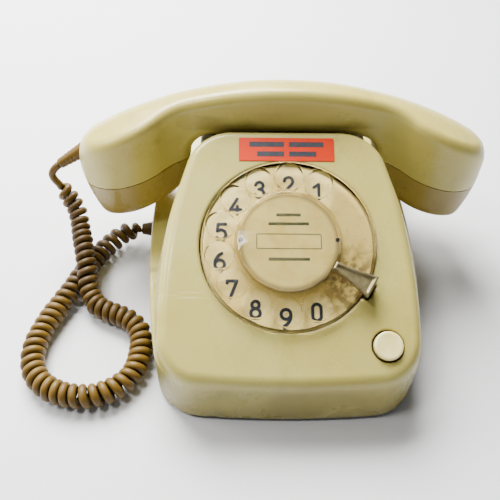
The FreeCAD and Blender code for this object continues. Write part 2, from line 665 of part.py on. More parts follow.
def handset_side():
    """Side outline of the handset body, above the cap seams."""
    def p(x, z):
        return (x, 0, z)

    edges = [arc(p(-103, 85.2), p(0, HANDSET_TOP), p(103, 85.2))]
    right = [arc(p(103, 85.2), p(112.6, 77.0), p(*(HANDSET_HALF, 63.0))),
             line(p(HANDSET_HALF, 63.0), p(*SEAM_OUT)),
             line(p(*SEAM_OUT), p(*SEAM_IN)),
             arc(p(*SEAM_IN), p(51.6, 78.6), p(39.0, 84.5))]
    left = [e.mirror(V(0, 0, 0), X_AXIS) for e in reversed(right)]
    edges += right + [arc(p(39.0, 84.5), p(0, 86.6), p(-39.0, 84.5))] + left
    return Part.Face(Part.Wire(Part.__sortEdges__(edges)))


def seam_frame(side):
    """Placement of a cap: origin at the seam's middle, local Z straight into the head."""
    mid_x = (SEAM_IN[0] + SEAM_OUT[0]) / 2
    mid_z = (SEAM_IN[1] + SEAM_OUT[1]) / 2
    turn = FreeCAD.Rotation(Y_AXIS, side * SEAM_TILT)
    return FreeCAD.Placement(V(side * mid_x, HANDSET_Y, mid_z), turn)


def on_seam(shape, side):
    placed = shape.copy()
    placed.Placement = seam_frame(side).multiply(shape.Placement)
    return placed


def cap_side(side):
    """Side outline of one cap, below its seam."""
    drop = 21.0
    tilt = math.radians(SEAM_TILT)
    dx, dz = -drop * math.sin(tilt), -drop * math.cos(tilt)
    gap = 0.12
    pts = [(SEAM_IN[0], SEAM_IN[1] - gap), (SEAM_OUT[0], SEAM_OUT[1] - gap),
           (SEAM_OUT[0] - 7.5, SEAM_OUT[1] - 13.5), (SEAM_OUT[0] + dx - 9.0, SEAM_OUT[1] + dz),
           (SEAM_IN[0] + dx + 14.0, SEAM_IN[1] + dz - 0.7), (SEAM_IN[0] + 2.0, SEAM_IN[1] - 12.0)]
    return polygon([(side * x, 0, z) for x, z in pts])


ARCH_R = (103.0 ** 2 + (HANDSET_TOP - 85.2) ** 2) / (2 * (HANDSET_TOP - 85.2))
ARCH_Z = HANDSET_TOP - ARCH_R    # the top surface is turned about a level line at this height
CROWN_START = 23.0               # the top is level up to this depth and falls away behind it
CROWN_END = 52.5
CROWN_R = 43.4
CROWN_FALL = 0.88                # slope of the heads behind the crown's arc


def crown_drop(y):
    """How far the top surface has fallen at depth y."""
    reach = min(max(y - CROWN_START, 0), CROWN_END - CROWN_START)
    return CROWN_R - math.sqrt(CROWN_R ** 2 - reach ** 2) + CROWN_FALL * max(y - CROWN_END, 0)


def crown_solid():
    """Everything below the handset's curved top."""
    def p(y):
        return (0, y, HANDSET_TOP - crown_drop(y))

    low = HANDSET_TOP - 110.0
    middle = (CROWN_START + CROWN_END) / 2
    edges = [line((0, 0, low), (0, 0, HANDSET_TOP)), line((0, 0, HANDSET_TOP), p(CROWN_START)),
             arc(p(CROWN_START), p(middle), p(CROWN_END)), line(p(CROWN_END), p(75)),
             line(p(75), (0, 75, low)), line((0, 75, low), (0, 0, low))]
    return Part.Face(Part.Wire(edges)).revolve(V(0, 0, ARCH_Z), Y_AXIS, 360)


def make_handset():
    plan = Part.Face(handset_plan(20.0)).extrude(V(0, 0, 110))
    side_view = handset_side().extrude(V(0, 90, 0))
    side_view.translate(V(0, HANDSET_Y - 45, 0))
    body = round_edges(plan.common(side_view), 5.5, is_handset_top)
    body = body.common(crown_solid())
    gaskets = []
    for side, name in ((-1, "mouth_cap"), (1, "ear_cap")):
        outline = cap_side(side).extrude(V(0, 90, 0))
        outline.translate(V(0, HANDSET_Y - 45, 0))
        cap = plan.common(outline)
        cap = round_edges(cap, 5.0, lambda e: is_cap_bottom(e))
        cap = cap.cut(on_seam(rod(23.4, -17.5, 5), side))
        for r, count in ((0.01, 1), (6.0, 6), (12.0, 12)):
            for k in range(count):
                x, y = polar(r, 360.0 * k / count)
                cap = cap.cut(on_seam(rod(1.1, -30, 0, x, y), side))
        keep(name, cap)
        body = body.cut(on_seam(rod(24.4, -3, 11.0), side))
        capsule = rod(22.6, -12.0, 1.0).fuse(rod(17.0, 0.5, 7.5))
        keep("transmitter_capsule" if side < 0 else "receiver_capsule", on_seam(capsule, side))
        gaskets.append(on_seam(ring(22.9, 17.0, -16.6, -12.2), side))
    keep("capsule_gaskets", *gaskets)
    body = body.cut(rod_along(3.2, V(-74, HANDSET_Y, 91), X_AXIS, 148))
    for side in (-1, 1):
        body = body.cut(box(*sorted((side * 64, side * 75)), HANDSET_Y - 3, HANDSET_Y + 3, 70, 92.5))
    body = body.cut(boot_solid(0.25))
    back = box(-130, 130, HANDSET_Y + 9.0, 90, 71.0, 130)
    keep("handset_back_cover", body.common(back.copy()))
    shell = body.cut(box(-130, 130, HANDSET_Y + 8.8, 90, 70.8, 130))
    keep("handset_shell", shell)
    keep("handset_cord_boot", boot_solid(0.0))
    wires = [rod_along(0.7, V(-72, HANDSET_Y + dy, 91), X_AXIS, 144) for dy in (-1.8, 0.0, 1.8)]
    keep("handset_wires", *wires)


def is_handset_top(edge):
    mid, bound = edge.CenterOfMass, edge.BoundBox
    if bound.YLength < 0.01 and abs(mid.x) < 1 and mid.z > 95:
        return True
    return mid.z > 71 and bound.ZMin > 62 and abs(mid.x) > 45 and above_arch(edge)


def above_arch(edge):
    """True for edges that lie on the top surface before its crown is cut."""
    point = edge.valueAt((edge.FirstParameter + edge.LastParameter) / 2)
    if abs(point.x) <= 103:
        return abs(math.hypot(point.x, point.z - ARCH_Z) - ARCH_R) < 0.3
    return point.z > 64


def is_cap_bottom(edge):
    mid = edge.CenterOfMass
    seam_z = SEAM_OUT[1] + (SEAM_OUT[0] - abs(mid.x)) * math.tan(math.radians(SEAM_TILT))
    return mid.z < seam_z - 17.0


BOOT_START = V(-111.0, HANDSET_Y, 67.0)
BOOT_TIP = V(-128.5, 32.0, 57.5)


def boot_solid(grow):
    """Tapered strain relief where the cord leaves the handset."""
    along = BOOT_TIP - BOOT_START
    cone = Part.makeCone(4.6 + grow, 3.1 + grow, along.Length + (3 if grow else 0), BOOT_START, along)
    inner = rod_along(5.4 + grow, BOOT_START - along * 0.05, along, 3.0 + grow)
    return cone.fuse(inner)


# ---------------------------------------------------------------- cradle and hook switch
def make_hook_switch():
    plungers = []
    for side in (-1, 1):
        x = side * PLUNGER_X
        pin = rod(PLUNGER_R, 72.0, 85.0, x, HANDSET_Y)
        pin = round_edges(pin, 1.2, lambda e: abs(e.CenterOfMass.z - 85.0) < 0.01)
        plungers.append(pin.fuse(rod(PLUNGER_R + 1.8, 70.5, 72.2, x, HANDSET_Y)))
    bridge = box(-PLUNGER_X - 4, PLUNGER_X + 4, HANDSET_Y - 3, HANDSET_Y + 3, 68.4, 70.7)
    bridge = bridge.fuse(box(-3, 3, HANDSET_Y - 3, HANDSET_Y + 1, 63.0, 68.6))
    keep("cradle_plungers", bridge.fuse(plungers))
    x0, x1 = -20.0, 20.0
    frame = box(x0, x1, 12.0, 13.6, 46.0, 66.0).fuse(box(x0, x1, 12.0, 44.0, 44.6, 46.2))
    for x in (x0, x1 - 1.6):
        frame = frame.fuse(box(x, x + 1.6, 12.0, 26.0, 44.6, 66.0))
    frame = frame.fuse(rod_along(1.5, V(-20.0, 20.0, 60.0), X_AXIS, 40.0))
    frame = frame.fuse(box(-25.6, 25.6, 29.0, 35.0, 44.6, 46.2))
    frame = frame.fuse([box(*sorted((s * 24.0, s * 25.6)), 29.0, 35.0, 6.22, 45.0) for s in (-1, 1)])
    keep("hook_switch_frame", frame)
    lever = box(-14, 14, 18.0, HANDSET_Y + 1, 60.9, 62.7).fuse(
        rod_along(3.2, V(-14, 20.0, 60.0), X_AXIS, 28.0))
    lever = lever.fuse(box(-3, 3, 16.8, 19.0, 49.5, 60.0))
    lever = lever.cut(rod_along(1.56, V(-30, 20.0, 60.0), X_AXIS, 60.0))
    keep("hook_lever", lever)
    blades = [box(x - 1.6, x + 1.6, y, y + 0.35, 46.3, 57.0)
              for x in (-8.0, 0.0, 8.0) for y in (23.0, 26.0)]
    keep("hook_contacts", *blades)
    keep("hook_spring", ring(3.0, 2.2, 46.4, 47.0, 0, 38.0).fuse(
        [ring(3.0, 2.2, z, z + 0.6, 0, 38.0) for z in (49.0, 51.6, 54.2, 56.8)]
        + [box(2.2, 3.0, 37.6, 38.4, 46.4, 57.4)]))


# ---------------------------------------------------------------- ringer
GONG_Y = 62.0
GONGS = (("gong_left", -27.0, 24.5), ("gong_right", 27.0, 24.0))


GONG_Z = 9.0                     # centre of each gong's ball


def make_gong(name, x, radius):
    span = box(x - 40, x + 40, GONG_Y - 40, GONG_Y + 40, GONG_Z + 7.0, GONG_Z + 27.0)
    outer = Part.makeSphere(radius, V(x, GONG_Y, GONG_Z)).common(span)
    outer = outer.common(rod(radius, GONG_Z, GONG_Z + 21.5, x, GONG_Y))
    inner = Part.makeSphere(radius - 1.6, V(x, GONG_Y, GONG_Z))
    inner = inner.common(rod(radius, GONG_Z, GONG_Z + 19.9, x, GONG_Y))
    keep(name, outer.cut(inner).cut(rod(2.1, GONG_Z, GONG_Z + 30, x, GONG_Y)))


def make_ringer():
    for name, x, radius in GONGS:
        make_gong(name, x, radius)
    posts, screws = [], []
    seat = GONG_Z + 19.8
    for _, x, _ in GONGS:
        posts.append(rod(3.4, 6.2, seat, x, GONG_Y).cut(rod(1.25, seat - 12, seat + 2, x, GONG_Y)))
        screw = rod(1.2, seat - 10, seat + 1.8, x, GONG_Y).fuse(rod(3.6, seat + 1.8, seat + 3.4, x, GONG_Y))
        screws.append(screw.cut(box(x - 4, x + 4, GONG_Y - 0.4, GONG_Y + 0.4, seat + 2.8, seat + 4)))
    keep("gong_screws", *screws)
    frame = box(-34, 34, 24.0, 70.0, 4.2, 6.2)
    pivot = rod(1.0, 6.0, 23.0, 0, 38.0)
    keep("ringer_frame", frame.fuse(posts + [pivot]))
    coils = []
    for side in (-1, 1):
        x = side * 13.0
        coils.append(rod_along(7.6, V(x, 12.0, 15.0), Y_AXIS, 22.0).cut(
            rod_along(2.6, V(x, 10.0, 15.0), Y_AXIS, 30.0)))
    keep("ringer_coils", *coils)
    cores = [rod_along(2.5, V(s * 13.0, 9.8, 15.0), Y_AXIS, 25.2) for s in (-1, 1)]
    yoke = box(-18, 18, 7.6, 10.0, 9.0, 21.0).fuse(cores)
    keep("ringer_yoke", yoke)
    keep("ringer_magnet", box(-4.6, 4.6, 10.2, 33.0, 10.4, 19.6))
    armature = box(-17, 17, 37.0, 39.0, 10.0, 20.0).fuse(rod(2.4, 9.0, 21.0, 0, 38.0))
    armature = armature.fuse(box(-0.8, 0.8, 38.6, 58.0, 19.0, 20.6))
    armature = armature.fuse(Part.makeSphere(3.0, V(0, 57.0, GONG_Z + 13.0)))
    keep("ringer_clapper", armature.cut(rod(1.05, 0, 25, 0, 38.0)))
    x, y = VOLUME_AT
    wheel = rod_along(9.5, V(x, y - 1.6, 10.8), Y_AXIS, 3.2)
    keep("volume_wheel", wheel.cut(rod_along(1.55, V(x, y - 5, 10.8), Y_AXIS, 10)))


# ---------------------------------------------------------------- electrical parts
def make_electrics():
    board = box(-50, 34, -84, -40, 9.0, 10.6)
    for x, y in BOARD_POSTS:
        board = board.cut(rod(1.4, 5, 15, x, y))
    keep("circuit_board", board)
    core = box(-44, -22, -76, -58, 10.8, 24.0)
    window = box(-40.5, -25.5, -80, -50, 14.0, 20.8)
    winding = rod_along(6.0, V(-33, -75.0, 17.4), Y_AXIS, 16.0)
    keep("induction_coil", core.cut(window.cut(box(-34, -32, -80, -50, 10, 24))).fuse(
        winding.common(box(-39, -27, -76, -58, 14.1, 20.7))))
    keep("capacitors", box(-14, 4, -78, -68, 10.8, 22.0), box(-14, 4, -64, -56, 10.8, 20.0))
    keep("resistors", *[rod_along(1.3, V(10 + 5 * k, -76, 12.2), Y_AXIS, 8.0) for k in range(4)])
    block = box(8, 30, -60, -50, 10.8, 18.0)
    for k in range(4):
        block = block.cut(rod(1.3, 12, 20, 11.0 + 5.4 * k, -55))
    for k in range(4):
        x = 11.0 + 5.4 * k
        block = block.fuse(rod(1.3, 11.9, 18.1, x, -55)).fuse(rod(2.2, 18.0, 19.2, x, -55))
    keep("terminal_block", block)


# ---------------------------------------------------------------- cord, gland and inlet
def make_gland_and_inlet():
    gland = rod_along(5.0, GLAND_AT + V(5.0, 0, 0), V(-1, 0, 0), 6.0)
    gland = gland.fuse(rod_along(6.2, GLAND_AT + V(3.4, 0, 0), X_AXIS, 1.8))
    taper = Part.makeCone(5.0, 3.4, 9.0, GLAND_AT + V(-0.9, 0, 0), V(-1, 0, 0))
    keep("handset_cord_gland", gland.fuse(taper))
    grommet = rod_along(5.0, INLET_AT + V(0, -5.0, 0), Y_AXIS, 5.0)
    grommet = grommet.fuse(rod_along(7.0, INLET_AT + V(0, -5.2, 0), Y_AXIS, 1.8))
    keep("line_cord_inlet", grommet.cut(rod_along(3.0, INLET_AT + V(0, -20, 0), Y_AXIS, 40)))


LEAD_ROUTE = [(-128.8, 31.9, 57.3), (-134.0, 30.7, 53.6), (-134.4, 30.1, 48.0), (-131.2, 29.4, 44.4)]
UPPER_ROUTE = [(-131.0, 29.3, 44.1), (-127.8, 28.1, 39.3), (-124.8, 24.8, 35.3)]
REST_Z = COIL_D / 2 + TABLE_GAP
LOWER_ROUTE = [(-124.6, 24.6, 35.1), (-121.0, 20.6, 30.3), (-118.6, 10.5, 24.3),
               (-115.3, -1.5, 21.2), (-112.2, -13.5, 16.5), (-110.2, -24.5, 9.6),
               (-105.2, -33.0, REST_Z), (-97.0, -37.0, REST_Z), (-86.4, -41.3, REST_Z),
               (-78.4, -49.3, REST_Z + 0.2), (-76.4, -61.8, REST_Z), (-78.0, -76.0, REST_Z),
               (-87.5, -86.5, REST_Z), (-101.0, -90.8, REST_Z), (-115.5, -88.6, REST_Z),
               (-127.5, -81.5, REST_Z), (-133.8, -69.0, REST_Z), (-133.6, -53.5, REST_Z),
               (-128.6, -37.5, REST_Z), (-121.6, -21.5, REST_Z), (-115.6, -4.1, REST_Z),
               (-109.9, 8.7, REST_Z), (-101.5, 19.8, 7.6), (-94.4, 25.2, 9.6), (-86.4, 26.0, 10.5)]


def cord_path(points):
    """Straight runs joined by tangent arcs; returns the wire, its length and the arc radii."""
    pts = [V(*p) for p in points]
    edges, radii = [], []
    start = pts[0]
    for before, at, after in zip(pts, pts[1:], pts[2:]):
        d_in, d_out = (at - before), (after - at)
        reach = 0.45 * min(d_in.Length, d_out.Length)
        d_in.normalize()
        d_out.normalize()
        half = d_in.getAngle(d_out) / 2
        radius = reach / math.tan(half)
        towards = d_out - d_in
        towards.normalize()
        mid = at + towards * (radius / math.cos(half) - radius)
        enter, leave = at - d_in * reach, at + d_out * reach
        edges += [Part.LineSegment(start, enter).toShape(), Part.Arc(enter, mid, leave).toShape()]
        radii.append(radius)
        start = leave
    edges.append(Part.LineSegment(start, pts[-1]).toShape())
    return Part.Wire(edges), radii


def tube(name, points, diameter):
    path, radii = cord_path(points)
    first = path.Edges[0]
    section = Part.Wire(Part.makeCircle(diameter / 2, first.valueAt(first.FirstParameter),
                                        first.tangentAt(first.FirstParameter)))
    solid = path.makePipeShell([section], True, True)
    expected = math.pi * diameter ** 2 / 4 * path.Length
    print(name, "length %.1f" % path.Length, "volume ratio %.3f" % (solid.Volume / expected),
          "valid", solid.isValid(), "bend radii", [round(r, 1) for r in radii])
    keep(name, solid)


def make_cord():
    tube("cord_lead", LEAD_ROUTE, LEAD_D)
    tube("cord_upper", UPPER_ROUTE, COIL_D)
    tube("cord_lower", LOWER_ROUTE, COIL_D)


def main():
    make_housing()
    make_base()
    make_sticker()
    make_number_ring()
    make_digits()
    make_finger_wheel()
    make_cap()
    make_finger_stop()
    make_dial_works()
    make_button()
    make_handset()
    make_hook_switch()
    make_ringer()
    make_electrics()
    make_gland_and_inlet()
    make_cord()
    os.makedirs("parts", exist_ok=True)
    for name, shape in SHAPES.items():
        if not shape.isValid():
            print("not valid:", name)
        shape.exportStep("parts/%s.step" % name)
    print(len(SHAPES), "nodes")


main()
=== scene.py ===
"""Looks of the rotary telephone: camera, cord, then the pieces, materials and light."""
import json
import math
import bpy
import bmesh
import numpy as np
import openvdb
from mathutils import Matrix, Vector


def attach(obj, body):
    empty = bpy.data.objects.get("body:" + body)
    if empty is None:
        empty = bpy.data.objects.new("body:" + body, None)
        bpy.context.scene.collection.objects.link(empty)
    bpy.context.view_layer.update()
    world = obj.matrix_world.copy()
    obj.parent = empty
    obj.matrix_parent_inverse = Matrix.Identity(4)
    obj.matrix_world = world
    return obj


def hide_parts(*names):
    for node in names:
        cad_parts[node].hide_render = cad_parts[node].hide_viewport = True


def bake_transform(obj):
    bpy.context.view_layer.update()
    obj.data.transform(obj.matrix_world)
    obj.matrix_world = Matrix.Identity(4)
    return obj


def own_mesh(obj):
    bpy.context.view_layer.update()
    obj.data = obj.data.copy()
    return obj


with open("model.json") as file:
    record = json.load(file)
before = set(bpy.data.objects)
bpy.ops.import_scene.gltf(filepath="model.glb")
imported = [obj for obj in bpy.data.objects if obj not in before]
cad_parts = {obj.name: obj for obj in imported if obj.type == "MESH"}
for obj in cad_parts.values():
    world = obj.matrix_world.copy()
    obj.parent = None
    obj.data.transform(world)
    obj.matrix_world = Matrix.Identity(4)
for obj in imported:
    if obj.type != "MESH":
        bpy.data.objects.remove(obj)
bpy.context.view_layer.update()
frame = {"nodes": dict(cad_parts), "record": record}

# ---------------------------------------------------------------- driving dimensions, in mm
MM = 0.001                      # one millimetre in the scene's metres
HALF_WIDTH = 76.0               # housing, at its widest
FRONT_Y, BACK_Y = -100.0, 100.0
STEP_Z = 31.0                   # top of the housing's low part
WALL = 2.5
CRADLE_HALF = 46.5              # half width of the trough and ridge between the handset's heads
PIN_X, PIN_R = 26.0, 3.8        # holes for the cradle's two plungers

SLOPE = math.radians(27.0)      # tilt of the face that carries the dial
FACE_FOOT_Z = 33.5              # height of the face's plane at the front edge
FACE_TO_DIAL = 69.0             # from the front edge up the face to the dial's centre
DIAL = Vector((0.0, FRONT_Y + FACE_TO_DIAL * math.cos(SLOPE),
               FACE_FOOT_Z + FACE_TO_DIAL * math.sin(SLOPE)))
FACE = Matrix.Translation(DIAL * MM) @ Matrix.Rotation(SLOPE, 4, "X") @ Matrix.Scale(MM, 4)

WHEEL_R = 42.95
PITCH_R = 34.5                  # circle of finger-hole centres
HOLE_R = 7.07
FIRST_HOLE, HOLE_STEP = 63.0, 25.55     # degrees
CAP_R, CAP_RISE = 25.9, 2.7     # clear cap: rim radius, and height of its dome over the rim
STOP_TURN = math.radians(-31.0)
BUTTON = (46.6, -50.2)          # on the face, from the dial's centre
BUTTON_R = 6.9

HANDSET_Y = 36.5
HEAD_X, HEAD_R = 87.0, 29.5     # the two round heads, seen from above
BAR_HALF = 14.8                 # half width of the bar between them
NECK_X, NECK_Y, NECK_R = 49.77, 39.8, 25.0      # hollow curve from bar to head
ARCH_R, ARCH_DEPTH = 211.33, 99.33      # upper curve, and its centre's depth under the table
HOLLOW_R, HOLLOW_DEPTH = 363.2, 276.6   # the same for the curve under the bar
CROWN_Y, CROWN_RUN, CROWN_R = 23.0, 29.5, 43.4  # where and how the top falls to the rear
SEAM_TURN = math.radians(15.0)  # tilt of the seam between the body and a cap
SEAM_X = 86.25
CAP_TOP_Z, BODY_FOOT_Z = 61.10, 61.55   # the seam's two edges
COVER_Y, COVER_GAP = 45.5, 0.08         # seam of the rear cover, and half its gap
SPLIT_X = 20.0                  # where the handset is parted while its seams are cut

WIRE_D = 4.4                    # jacket of the curly cord
COIL_TURN_STEPS = 22            # path points in one turn
COIL_FADE = 5.0                 # length at each end over which the coil opens from a straight wire
# Shares of the coil's length from the handset, with the helix radius and the turn spacing there.
COIL_RADIUS = [(0, 3.1), (0.04, 3.7), (0.2, 3.9), (0.3, 4.3), (0.95, 4.3), (1.0, 3.4)]
COIL_PITCH = [(0, 6.4), (0.03, 5.0), (0.1, 4.75), (0.25, 4.9), (0.6, 4.95), (0.84, 5.2),
              (0.92, 5.6), (1.0, 6.2)]
GLAND_Y, GLAND_Z = 26.0, 10.5   # where the cord enters the housing's left side
INLET_X, INLET_Z = 30.0, 12.0   # hole for the line cord in the rear wall
INLET_R = 5.1                   # both of those holes


# ---------------------------------------------------------------- camera
def make_camera():
    """Camera in front of the telephone and above it, looking down at the dial."""
    data = bpy.data.cameras.new("camera")
    data.lens, data.sensor_width = 43.2, 36.0
    camera = bpy.data.objects.new("camera", data)
    bpy.context.scene.collection.objects.link(camera)
    right = Vector((0.999818, -0.008671, 0.017018))
    up = Vector((-0.005275, 0.730975, 0.682384))
    back = right.cross(up)
    turn = Matrix((right, up, back)).transposed().to_4x4()
    place = Vector((-24.40, -243.35, 279.84)) * MM
    camera.matrix_world = Matrix.Translation(place) @ turn
    data.clip_start = 0.01
    bpy.context.scene.camera = camera


# ---------------------------------------------------------------- cord
LEAD_ROUTE = [(-128.8, 31.9, 57.3), (-134.0, 30.7, 53.6), (-134.4, 30.1, 48.0), (-131.2, 29.4, 44.4)]
COIL_ROUTE = [(-131.0, 29.3, 44.1), (-127.8, 28.1, 39.3), (-124.6, 24.6, 35.1),
              (-121.0, 20.6, 30.3), (-118.6, 10.5, 24.3), (-115.3, -1.5, 21.2),
              (-112.2, -13.5, 16.5), (-110.2, -24.5, 9.6), (-105.2, -33.0, 6.8),
              (-97.0, -37.0, 6.8), (-86.4, -41.3, 6.8), (-78.4, -49.3, 7.0),
              (-76.4, -61.8, 6.8), (-78.0, -76.0, 6.8), (-87.5, -86.5, 6.8),
              (-101.0, -90.8, 6.8), (-115.5, -88.6, 6.8), (-127.5, -81.5, 6.8),
              (-133.8, -69.0, 6.8), (-133.6, -53.5, 6.8), (-128.6, -37.5, 6.8),
              (-121.6, -21.5, 6.8), (-115.6, -4.1, 6.8), (-109.9, 8.7, 6.8),
              (-101.5, 19.8, 7.6), (-94.4, 25.2, 9.6), (-86.4, 26.0, 10.5)]


def route_points(points, name):
    """Fine points along a smooth spline through the route's control points, in mm."""
    curve = bpy.data.curves.new(name, "CURVE")
    curve.dimensions = "3D"
    curve.resolution_u = 16
    spline = curve.splines.new("NURBS")
    spline.points.add(len(points) - 1)
    for point, co in zip(spline.points, points):
        point.co = (*[c * MM for c in co], 1.0)
    spline.order_u = 3
    spline.use_endpoint_u = True
    holder = bpy.data.objects.new(name, curve)
    bpy.context.scene.collection.objects.link(holder)
    mesh = bpy.data.meshes.new_from_object(holder)
    fine = np.array([v.co[:] for v in mesh.vertices]) / MM
    bpy.data.objects.remove(holder)
    bpy.data.curves.remove(curve)
    bpy.data.meshes.remove(mesh)
    return fine


def even(points, step):
    """The same line with points an even step apart."""
    seg = np.linalg.norm(np.diff(points, axis=0), axis=1)
    at = np.concatenate([[0], np.cumsum(seg)])
    count = max(2, int(at[-1] / step))
    want = np.linspace(0, at[-1], count + 1)
    return np.stack([np.interp(want, at, points[:, k]) for k in range(3)], axis=1), want


def frames_along(points):
    """Two normals at each point of a line, which do not twist along it."""
    tang = np.gradient(points, axis=0)
    tang /= np.linalg.norm(tang, axis=1)[:, None]
    side = np.cross(tang[0], (0.0, 0.0, 1.0))
    side /= np.linalg.norm(side)
    sides = []
    for t in tang:
        side = side - t * np.dot(side, t)
        side /= np.linalg.norm(side)
        sides.append(side)
    sides = np.array(sides)
    return sides, np.cross(tang, sides)


def tube_mesh(name, path, radii, sides=12):
    """Round tube of changing radius along a line, closed at both ends."""
    a, b = frames_along(path)
    turn = np.linspace(0, 2 * math.pi, sides, endpoint=False)
    ring = np.stack([np.cos(turn), np.sin(turn)], axis=1)
    radii = np.broadcast_to(radii, len(path))
    verts = path[:, None, :] + radii[:, None, None] * (
        ring[None, :, 0, None] * a[:, None, :] + ring[None, :, 1, None] * b[:, None, :])
    count = len(path)
    faces = []
    for i in range(count - 1):
        for k in range(sides):
            n = (k + 1) % sides
            faces.append((i * sides + k, i * sides + n, (i + 1) * sides + n, (i + 1) * sides + k))
    faces.append(tuple(range(sides))[::-1])
    faces.append(tuple((count - 1) * sides + k for k in range(sides)))
    return mesh_object(name, verts.reshape(-1, 3), faces)


def mesh_object(name, verts, faces, smooth=True, matrix=None):
    """New object from vertices in mm; matrix, if given, takes mm to metres."""
    mesh = bpy.data.meshes.new(name)
    verts = np.asarray(verts, dtype=float)
    if matrix is None:
        verts = verts * MM
    mesh.from_pydata(verts.tolist(), [], faces)
    if matrix is not None:
        mesh.transform(matrix)
    mesh.validate()
    mesh.update()
    if smooth:
        mesh.shade_smooth()
    obj = bpy.data.objects.new(name, mesh)
    bpy.context.scene.collection.objects.link(obj)
    return obj


def make_cord():
    """One cord: a straight lead out of the boot, close turns, and slack turns by the housing."""
    lead = route_points(LEAD_ROUTE, "lead_route")
    coil = route_points(COIL_ROUTE, "coil_route")
    rng = np.random.default_rng(7)
    line, at = even(coil, 0.5)
    total = at[-1]
    a, b = frames_along(line)
    share = at / total
    radius = np.interp(share, *zip(*COIL_RADIUS))
    pitch = np.interp(share, *zip(*COIL_PITCH))
    pitch *= 1 + 0.05 * np.sin(share * 41) + 0.03 * np.sin(share * 97 + 1)
    phase = np.concatenate([[0], np.cumsum(np.diff(at) / pitch[1:])]) * 2 * math.pi
    want = np.linspace(0, phase[-1], int(phase[-1] / (2 * math.pi) * COIL_TURN_STEPS))
    s = np.interp(want, phase, at)
    centre, aa, bb = (np.stack([np.interp(s, at, arr[:, k]) for k in range(3)], axis=1)
                      for arr in (line, a, b))
    uneven = np.interp(s, np.linspace(0, total, 60), rng.standard_normal(60))
    rad = np.interp(s, at, radius) * (1 + 0.03 * uneven)
    fade = np.clip(np.minimum(s / COIL_FADE, (total - s) / COIL_FADE), 0, 1)
    rad = rad * (fade * fade * (3 - 2 * fade))
    helix = centre + rad[:, None] * (np.cos(want)[:, None] * aa + np.sin(want)[:, None] * bb)
    helix[:, 2] = np.maximum(helix[:, 2], WIRE_D / 2 + 0.1)
    path = np.concatenate([lead[:-1], helix])
    path, _ = even(path, 1.15)
    obj = tube_mesh("curly_cord", path, WIRE_D / 2, 12)
    length = np.linalg.norm(np.diff(path, axis=0), axis=1).sum()
    return obj, path, length


# ---------------------------------------------------------------- shapes from distance fields
def both(a, b, r):
    """Distance to what lies in both shapes, with the edge between them rounded by r."""
    inside = np.minimum(np.maximum(a, b) + r, 0)
    return inside + np.sqrt(np.maximum(a + r, 0) ** 2 + np.maximum(b + r, 0) ** 2) - r


def surface(name, low, high, step, field):
    """Closed mesh of the place where the field changes sign; all in mm."""
    axes = [np.arange(a, b + step, step, dtype=np.float32) for a, b in zip(low, high)]
    x, y, z = axes[0][:, None, None], axes[1][None, :, None], axes[2][None, None, :]
    values = np.clip(field(x, y, z), -3 * step, 3 * step).astype(np.float32)
    grid = openvdb.FloatGrid(3 * step)
    grid.copyFromArray(np.ascontiguousarray(values))
    points, quads = grid.convertToQuads(0.0)
    verts = points * step + np.array(low)
    return mesh_object(name, verts, quads.tolist())


def three_points(y, values):
    """Parabola in y through values at y = -96.4, -38 and 21."""
    y0, y1, y2 = -96.4, -38.0, 21.0
    a, b, c = values
    return (a * (y - y1) * (y - y2) / ((y0 - y1) * (y0 - y2))
            + b * (y - y0) * (y - y2) / ((y1 - y0) * (y1 - y2))
            + c * (y - y0) * (y - y1) / ((y2 - y0) * (y2 - y1)))


def housing_outside(x, y, z):
    """Outer skin of the housing, without its openings, and places measured on the face."""
    ax = np.abs(x)
    back = np.maximum(24.0 - y, 0)
    side = (ax - HALF_WIDTH + 0.000937 * back ** 2) / np.sqrt(1 + (0.001874 * back) ** 2)
    front = FRONT_Y + 3.6 * (x / 62.5) ** 2 - y
    plan = both(both(side, front, 17.0), y - BACK_Y, 20.0)
    lower = both(plan, z - STEP_Z, 1.5)
    rise = np.maximum(z - STEP_Z, 0)
    lean = three_points(y, (0.075, 0.26, 0.43))
    upper_side = (ax - three_points(y, (62.3, 69.8, 73.0)) + lean * rise) / np.sqrt(1.02 + lean ** 2)
    along = (y - DIAL.y) * math.cos(SLOPE) + (z - DIAL.z) * math.sin(SLOPE)
    out = (z - DIAL.z) * math.cos(SLOPE) - (y - DIAL.y) * math.sin(SLOPE)
    edge = np.where(along > -5.0, 50.5 + 0.2868 * (49.05 - along), 66.0 - 0.436 * (along + 5.0))
    corner = both((ax - edge) / 1.04, along - 62.4, 17.0)
    block = both(np.maximum(upper_side, corner), front, 17.0)
    block = both(both(block, out, 4.2), y - 21.0, 2.5)
    trough = np.maximum(both(ax - CRADLE_HALF, z - 84.0, 12.0), np.maximum(y - 60.0, out + 3.0))
    trough = np.maximum(trough, -20.0 - y)
    slope_back = 0.821 * (y - 64.0) + 0.572 * (z - 91.5)
    foot_back = 0.992 * (y - 95.0) + 0.129 * (z - 47.0)
    ridge = both(both(ax - CRADLE_HALF, z - 91.5, 14.0), 53.4 - y, 2.5)
    ridge = np.maximum(both(ridge, both(slope_back, foot_back, 10.0), 4.0), y - 99.0)
    outer = np.minimum(np.minimum(lower, block), np.minimum(trough, ridge))
    grip = both(both(ax - 36.0, np.abs(z - 69.0) - 11.0, 6.0), 70.0 - y, 3.0)
    return both(outer, -grip, 1.5), along, out


